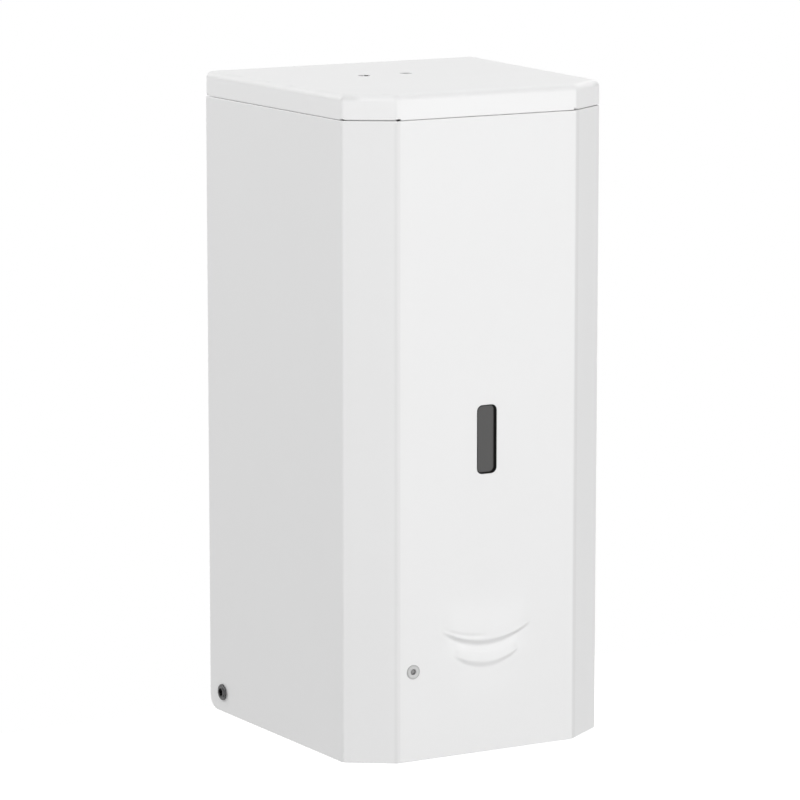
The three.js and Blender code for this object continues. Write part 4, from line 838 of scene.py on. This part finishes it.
def buildIndicator():
    low, high = boxOf("indicator_bezel")
    x, _, z = middleOf("indicator_bezel")
    rim, eye, bore, sleeve = (light[key] for key in ("rim", "eye", "bore", "sleeve"))
    inside, outside = (rim - inset for inset in light["bevel"])
    depth = high.y - low.y
    profile = [(eye, 0.28), (eye + 0.12, 0.14), (eye + 0.4, 0.08), (inside, 0.02), (outside, 0.0),
               (rim - 0.1, 0.08), (rim, 0.24), (rim, 0.39), (sleeve, 0.42), (sleeve, depth - 0.2),
               (sleeve - 0.2, depth), (bore, depth), (bore, 0.75), (eye, 0.6)]
    standFor(turned("lightBezel", profile, (x, low.y, z), "Y", 64), "indicator_bezel", finish=bezelFinish())
    low, high = boxOf("indicator_lens")
    x, _, z = middleOf("indicator_lens")
    radius, back = eye - light["lensSlack"], light["lensBack"]
    dome = arcPoints(0, 0, 1, -quarter, quarter, light["domeSteps"])
    profile = [(radius * u, light["dome"] * (1 + v)) for u, v in dome]
    profile = [(0, 0)] + profile[1:] + [(radius, high.y - low.y - back), (0, high.y - low.y - back)]
    standFor(turned("lightLens", profile, (x, low.y + back, z), "Y"), "indicator_lens", finish=lensFinish)


buildIndicator()

screw = {
    "seat": 1.8, "head": 3.55, "height": 1.05, "edge": 0.2, "hex": 1.62, "hexDepth": 2.2, "mouth": 2.07,
    "shank": 2.0, "pitch": 0.7, "thread": 0.28, "tip": 0.5, "plain": 1.5, "sides": 36, "domeSteps": 7,
}


def screwRing(along, radius, hexShare=0.0):  # a circle that turns into a hexagon as its share grows
    ring = []
    for c, s in circleLoop(0, 0, 1, screw["sides"]):
        folded = (atan2(s, c) + pi / 6) % (pi / 3) - pi / 6
        reach = radius * (1 - hexShare + hexShare / cos(folded))
        ring.append((along, reach * c, reach * s))
    return ring


def screwRings(length):  # a button head with a hexagon socket, pointing along +X from its seat
    shank, head, height, mouth, edge = (screw[key] for key in ("shank", "head", "height", "mouth", "edge"))
    hexagon, floor = screw["hex"], height - screw["hexDepth"]
    section = [(-length, shank - screw["tip"])]
    along = -length + screw["tip"]
    while along < -screw["plain"]:
        section += [(along, shank - screw["thread"]), (along + screw["pitch"] / 2, shank)]
        along += screw["pitch"]
    section += [(0, shank), (0, head - 0.15), (0.06, head - 0.03)]
    section += [(edge + (height - edge) * v, mouth + (head - mouth) * u)
                for u, v in arcPoints(0, 0, 1, 0, quarter, screw["domeSteps"])]
    section += [(height - 0.02, hexagon + 0.12, 0.6), (height - 0.2, hexagon, 1.0), (floor, hexagon, 1.0),
                (floor - 0.35, 0.3, 0.5)]
    return [screwRing(*row) for row in section]


class Tree(Wiring):  # a geometry node tree
    def __init__(self, name, **sockets):
        super().__init__(bpy.data.node_groups.new(name, "GeometryNodeTree"))
        sides = self.tree.interface
        sides.new_socket("Geometry", in_out="OUTPUT", socket_type="NodeSocketGeometry")
        for label, kind in sockets.items():
            sides.new_socket(label, in_out="INPUT", socket_type="NodeSocket" + kind)
        self.given = self.node("NodeGroupInput", {})

    def vectors(self, operation, inputs):
        return self.node("ShaderNodeVectorMath", inputs, operation=operation)[0]

    def done(self, geometry):
        real = self.node("GeometryNodeRealizeInstances", {"Geometry": geometry})
        finished = self.node("GeometryNodeSetMaterial", {
            "Geometry": real[0], "Material": self.given["Finish"]})
        self.node("NodeGroupOutput", {"Geometry": finished[0]})
        return self.tree


def instancingTree(name):  # copies a piece to every point, turned by the point's own aim
    tree = Tree(name, Points="Geometry", Piece="Object", Size="Float", Finish="Material")
    piece = tree.node("GeometryNodeObjectInfo", {"Object": tree.given["Piece"]})
    aim = tree.node("GeometryNodeInputNamedAttribute", {"Name": "aim"}, data_type="FLOAT_VECTOR")
    turn = tree.node("FunctionNodeAlignRotationToVector", {"Vector": aim["Attribute"]}, axis="X")
    copies = tree.node("GeometryNodeInstanceOnPoints", {
        "Points": tree.given["Points"], "Instance": piece["Geometry"], "Rotation": turn["Rotation"],
        "Scale": tree.given["Size"]})
    return tree.done(copies["Instances"])


def sweepTree(name, phases):  # round strands carried along a path, wound about it one phase apart
    tree = Tree(name, Path="Geometry", Radius="Float", Sides="Int", Step="Float", Reach="Float", Twist="Float",
                Finish="Material")
    given = tree.given
    curve = tree.node("GeometryNodeMeshToCurve", {"Mesh": given["Path"]})[0]
    curve = tree.node("GeometryNodeCurveSplineType", {"Curve": curve}, spline_type="CATMULL_ROM")[0]
    curve = tree.node("GeometryNodeResampleCurve", {"Curve": curve, "Length": given["Step"]}, mode="LENGTH")[0]
    run = tree.wire("GeometryNodeSplineParameter", {}, "Length")
    normal, tangent = (tree.node("GeometryNodeInput" + kind, {})[0] for kind in ("Normal", "Tangent"))
    across = tree.vectors("CROSS_PRODUCT", {0: tangent, 1: normal})
    section = tree.node("GeometryNodeCurvePrimitiveCircle", {
        "Resolution": given["Sides"], "Radius": given["Radius"]})[0]
    strands = []
    for i, phase in enumerate(phases):
        angle = run * given["Twist"] + phase
        parts = [tree.vectors("SCALE", {0: direction, "Scale": angle.math(wheel) * given["Reach"]})
                 for direction, wheel in ((normal, "COSINE"), (across, "SINE"))]
        offset = tree.vectors("ADD", {0: parts[0], 1: parts[1]})
        wound = tree.node("GeometryNodeSetPosition", {"Geometry": curve, "Offset": offset})[0]
        tube = tree.node("GeometryNodeCurveToMesh", {
            "Curve": wound, "Profile Curve": section, "Fill Caps": True})[0]
        strands.append(tree.node("GeometryNodeStoreNamedAttribute", {
            "Geometry": tube, "Name": "strand", "Value": float(i)}, data_type="FLOAT", domain="POINT")[0])
    return tree.done(tree.node("GeometryNodeJoinGeometry", {"Geometry": strands[::-1]})[0])


def runTree(piece, tree, values):  # sets the named inputs by identifier, evaluates once and keeps the mesh
    modifier = piece.modifiers.new(tree.name, "NODES")
    modifier.node_group = tree
    identifiers = {item.name: item.identifier for item in tree.interface.items_tree
                   if item.item_type == "SOCKET" and item.in_out == "INPUT"}
    for label, value in values.items():
        modifier[identifiers[label]] = value
    return plainMesh(piece)


def pathPiece(name, points, tree, radius, finish, sides, step, reach=0.0, twist=0.0):
    piece = newPiece(name, points, [(i, i + 1) for i in range(len(points) - 1)])
    runTree(piece, tree, {"Radius": radius * toMetres, "Sides": sides, "Step": step * toMetres,
                          "Reach": reach * toMetres, "Twist": twist / toMetres, "Finish": finish})
    return closedUp(piece, 50)


copyTree = instancingTree("copiesOnPoints")
strandTree = sweepTree("singleStrand", (0.0,))
pairTree = sweepTree("twistedPair", (0.0, pi))


def copiesAt(name, spots, pattern, finish):  # spots are (place, aim)
    piece = newPiece(name, [place for place, aim in spots])
    attribute = piece.data.attributes.new("aim", "FLOAT_VECTOR", "POINT")
    for row, (place, aim) in zip(attribute.data, spots):
        row.vector = aim
    runTree(piece, copyTree, {"Piece": pattern, "Size": 1.0, "Finish": finish})
    bpy.data.objects.remove(pattern)
    return painted(piece, finish)


def buildScrews():
    low, high = boxOf("side_screw_right")
    _, y, z = middleOf("side_screw_right")
    seat = high.x - screw["seat"]
    pattern = ringStack("casingScrew", screwRings(seat - low.x), 30)
    spots = [((side * seat, y, z), (side, 0, 0)) for side in (-1, 1)]
    piece = copiesAt("casingScrews", spots, pattern, finishes["screw_steel"])
    standFor(piece, "side_screw_left", "side_screw_right")


buildScrews()

keyStop = {"radius": 0.95, "aside": 1.5, "back": 1.25, "deep": 0.08, "tall": 1.3, "edge": 0.2}


def buildKeyStop():  # a dark pin against the wall of the first key hole
    radius, tall, edge = keyStop["radius"], keyStop["tall"], keyStop["edge"]
    profile = [(0, -tall), (radius, -tall), (radius, -edge), (radius - edge, 0), (0, 0)]
    x, y = keyCentres[0]
    centre = (x + keyStop["aside"], y + keyStop["back"], lidTop - keyStop["deep"])
    piece = painted(turned("keyStop", profile, centre, "Z", 24), finishes["black_plastic"])
    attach(piece, "lid")


buildKeyStop()
print("stage: window, light and screws")


# Spring, hose and leads.
spring = {"radius": 0.76, "wire": 0.35, "turns": 7, "points": 16, "tight": 0.72, "sides": 10, "step": 0.28}


def buildSpring():  # a wound coil the length of the spring's box, riding with the spring's body
    low, high = boxOf("latch_spring")
    x, _, z = middleOf("latch_spring")
    wire, turns, tight = spring["wire"], spring["turns"], spring["tight"]
    run = high.y - low.y - 2 * wire
    loose = (run - 2 * tight) / (turns - 2)  # the first and last coils lie closed
    points = []
    for i in range(turns * spring["points"] + 1):
        turn = i / spring["points"]
        along = tight * (min(turn, 1) + max(turn - turns + 1, 0)) + loose * min(max(turn - 1, 0), turns - 2)
        aside, up = (spring["radius"] * wheel(4 * quarter * turn) for wheel in (cos, sin))
        points.append((x + aside, low.y + wire + along, z + up))
    piece = pathPiece("coilSpring", points, strandTree, wire, finishes["zinc_steel"], spring["sides"],
                      spring["step"])
    standFor(piece, "latch_spring")
    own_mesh(piece)


hose = {"radius": 3.0, "bore": 1.6, "boreDepth": 3, "bend": 12.0, "track": 15.0, "axis": (16.0, -91.85),
        "sides": 28, "step": 1.2}


def buildHose():  # from the spout into the pump's track, round it and down to the nozzle
    low, high = boxOf("pump_hose")
    y = middleOf("pump_hose")[1]
    pumpX, pumpZ = hose["axis"]
    track, bend = hose["track"], hose["bend"]
    route = [(0, high.z), (0, (high.z + pumpZ + track + bend) / 2)]
    route += arcPoints(bend, pumpZ + track + bend, bend, 2 * quarter, quarter, 8)
    route += arcPoints(pumpX, pumpZ, track, quarter, -2 * quarter, 18)
    route += arcPoints(bend, pumpZ - track - bend, bend, quarter, quarter, 8)
    route += [(0, (low.z + pumpZ - track - bend) / 2), (0, low.z)]
    piece = pathPiece("pumpTube", [(x, y, z) for x, z in route], strandTree, hose["radius"],
                      finishes["silicone"], hose["sides"], hose["step"])
    for z in (low.z, high.z):  # the bore shows at both ends
        combine(piece, rod(hose["bore"], hose["boreDepth"], (0, y, z), "Z", hose["sides"]))
    standFor(closedUp(piece, 50), "pump_hose")


leads = {
    "radius": 0.5, "reach": 0.5, "twist": 0.75, "sides": 12, "step": 0.45,  # twist in radians a millimetre
    "cellLead": ("battery_lead", [(27.1, -27, -77.8), (27.1, -28.1, -71.3), (31.4, -39.5, -69.3),
                                  (35.4, -52.9, -73.8), (39.4, -52.9, -73.8)]),
    "motorLead": ("motor_lead", [(-19.7, -40.8, -85.9), (-19.7, -38.6, -85.9), (-15.7, -38.6, -71.9),
                                 (6.3, -41.1, -65.9), (31.4, -58.9, -73.8), (39.4, -58.9, -73.8)]),
}


def buildLeads():
    for name in ("cellLead", "motorLead"):
        node, route = leads[name]
        piece = pathPiece(name, route, pairTree, leads["radius"], finishes["red_insulation"], leads["sides"],
                          leads["step"], leads["reach"], leads["twist"])
        standFor(piece, node)


buildSpring()
buildHose()
buildLeads()
print("stage: spring, hose and leads")


# Cells and board parts.
cell = {"radius": 7.1, "length": 50.5, "button": 1.0, "buttonRadius": 2.7, "pitch": 15.6}


def buildCells():
    half, radius, nub = cell["length"] / 2, cell["radius"], cell["buttonRadius"]
    shoulder = half - cell["button"]
    profile = [(0, -half + 0.12), (5.3, -half + 0.12), (5.5, -half), (6.3, -half), (6.5, -half + 0.15),
               (6.6, -half + 0.2), (radius - 0.12, -half + 0.22), (radius, -half + 0.4),
               (radius, shoulder - 0.35), (radius - 0.12, shoulder - 0.12), (6.4, shoulder - 0.1),
               (6.1, shoulder), (nub + 0.9, shoulder), (nub + 0.5, shoulder - 0.25),
               (nub + 0.15, shoulder - 0.25), (nub, shoulder), (nub, half - 0.3), (nub - 0.3, half), (0, half)]
    pattern = plainMesh(turned("cell", profile, (0, 0, 0), "X", 44))
    along = pattern.data.attributes.new("along", "FLOAT", "POINT")
    for row, vertex in zip(along.data, pattern.data.vertices):
        row.value = vertex.co.x / toMetres + half
    _, y, z = middleOf("cell_1")
    spots = [(((i - 1.5) * cell["pitch"], y, z), (0, 0, (-1) ** i)) for i in range(4)]
    standFor(copiesAt("cells", spots, pattern, finishes["cell_wrap"]), *(f"cell_{i + 1}" for i in range(4)))


boardParts = {"seed": 11, "count": 34, "apart": 3.2, "margin": 2.5, "clear": 2.5, "size": (0.5, 1.3, 2.1),
              "sunk": 0.02}


def buildBoardParts():  # small chips scattered over the control board, clear of the big chip and the socket
    low, high = boxOf("control_board")
    kept = [boxOf("controller_chip"), boxOf("lead_socket")]
    chance = random.Random(boardParts["seed"])
    spots, margin, clear = [], boardParts["margin"], boardParts["clear"]
    while len(spots) < boardParts["count"]:
        y, z = chance.uniform(low.y + margin, high.y - margin), chance.uniform(low.z + margin, high.z - margin)
        free = all(not (a.y - clear < y < b.y + clear and a.z - clear < z < b.z + clear) for a, b in kept)
        if free and all(hypot(y - p[1], z - p[2]) > boardParts["apart"] for p, aim in spots):
            spots.append(((low.x - boardParts["sunk"], y, z), (-1, 0, 0)))
    tall, wide, long = boardParts["size"]
    pattern = blockPiece((0, -wide / 2, -long / 2), (tall, wide / 2, long / 2))
    piece = copiesAt("boardParts", spots, pattern, finishes["black_plastic"])
    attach(piece, bodyOf["control_board"])


buildCells()
buildBoardParts()
print("stage: cells and board parts")


# Everything else keeps its CAD shape with eased edges.
eased = {
    "window_retainer": ("paneRetainer", 0.2), "indicator_board": ("lampBoard", 0.15),
    "back_plate": ("wallPlate", 0.3), "side_nut_left": ("nutLeft", 0.3), "side_nut_right": ("nutRight", 0.3),
    "hinge_pin_left": ("hingePinLeft", 0.2), "hinge_pin_right": ("hingePinRight", 0.2),
    "hinge_bracket_left": ("hingeBracketLeft", 0.3), "hinge_bracket_right": ("hingeBracketRight", 0.3),
    "latch_catch": ("latchCatch", 0.25), "latch_slider": ("latchSlider", 0.3),
    "latch_guide": ("latchGuide", 0.25), "seal_carrier": ("sealCarrier", 0.4), "lid_seal": ("mouthSeal", 0.7),
    "soap_tank": ("soapTub", 0.6), "tank_cover": ("tubCover", 0.6), "tank_shelf": ("tubShelf", 0.4),
    "pump_bracket": ("pumpBracket", 0.3), "pump_body": ("pumpBody", 0.3), "pump_cover": ("pumpCover", 0.4),
    "roller_1": ("rollerOne", 0.3), "roller_2": ("rollerTwo", 0.3), "roller_3": ("rollerThree", 0.3),
    "idler_pin": ("idlerPin", 0.2), "motor": ("pumpMotor", 0.4), "motor_plate": ("motorPlate", 0.25),
    "nozzle": ("dropNozzle", 0.25), "bottom_panel": ("underPanel", 0.4), "sensor_window": ("sensorPane", 0.3),
    "sensor_housing": ("sensorBox", 0.4), "ir_emitter": ("eyeSend", 0.15), "ir_receiver": ("eyeReceive", 0.15),
    "battery_box": ("cellBox", 0.3), "battery_door": ("cellDoor", 0.3), "contact_strip": ("cellContacts", 0.15),
    "switch_slider": ("switchKnob", 0.25), "switch_body": ("switchBox", 0.25),
    "pump_rotor": ("pumpRotor", 0.1), "idler_gear": ("idlerGear", 0.1), "motor_pinion": ("motorPinion", 0.1),
    "control_board": ("mainBoard", 0.15), "controller_chip": ("boardChip", 0.2),
    "lead_socket": ("leadSocket", 0.25),
}
for node, (name, width) in eased.items():
    softened(name, node, width)
for node, cadObject in cadNodes.items():  # the nodes that stay take their slot's finish
    if not cadObject.hide_render:
        painted(cadObject, finishes[slotOf[node]])
print("stage: eased pieces")


# Room.
room = {
    "floor": -2100, "size": 14000, "ambient": 0.3, "lampSize": 1400, "lampReach": 1800, "lampAim": (0, -60, 0),
}


def chosenShader(wiring, plain, shown, output):  # the second shader for the camera, mirrors and clear plastic
    path = wiring.node("ShaderNodeLightPath", {})
    camera = Wire(wiring, path["Is Camera Ray"])
    seen = (camera + path["Is Glossy Ray"] + path["Is Transmission Ray"]).math("MINIMUM", 1.0)
    chosen = wiring.node("ShaderNodeMixShader", {0: seen, 1: plain, 2: shown})
    wiring.node(output, {0: chosen[0]})


def buildRoom():
    half, level = room["size"] / 2, room["floor"]
    corners = [(-half, -half, level), (half, -half, level), (half, half, level), (-half, half, level)]
    floor = meshPiece("floor", corners, [(0, 1, 2, 3)])
    f = Finish("paleFloor")
    diffuse = f.node("ShaderNodeBsdfDiffuse", {"Color": f.mix(f.noise(0.6, 3), grey(0.86), grey(0.90))})[0]
    glow = f.node("ShaderNodeEmission", {"Color": grey(1.0), "Strength": 1.0})[0]
    both = f.node("ShaderNodeAddShader", {0: diffuse, 1: glow})[0]
    chosenShader(f, diffuse, both, "ShaderNodeOutputMaterial")
    painted(floor, f.material)
    world = bpy.data.worlds.new("studioAir")
    stageScene.world = world
    world.use_nodes = True
    air = Wiring(world.node_tree)
    air.tree.nodes.clear()
    plain, shown = (air.node("ShaderNodeBackground", {"Color": grey(1.0), "Strength": strength})[0]
                    for strength in (room["ambient"], 1.0))
    chosenShader(air, plain, shown, "ShaderNodeOutputWorld")


lamps = {  # bearing from the front, height angle, watts
    "rearLeft": (-135, 35, 14.65),
    "highLeft": (-30, 35, 10.75),
    "lowRight": (30, 5, 10.15),
    "rearRight": (120, 35, 6.35),
    "lowLeft": (-30, 5, 5.7),
}


def buildLamps():
    for name, (bearing, rise, watts) in lamps.items():
        turn, up = radians(bearing), radians(rise)
        away = Vector((sin(turn) * cos(up), -cos(turn) * cos(up), sin(up)))
        panel = bpy.data.lights.new(name, "AREA")
        panel.shape = "SQUARE"
        panel.size = room["lampSize"] * toMetres
        panel.energy = watts
        target = Vector(room["lampAim"])
        aimed(name, panel, target + away * room["lampReach"], target)


buildRoom()
buildLamps()
stageScene.view_settings.view_transform = "Standard"
print("stage: room and lamps")
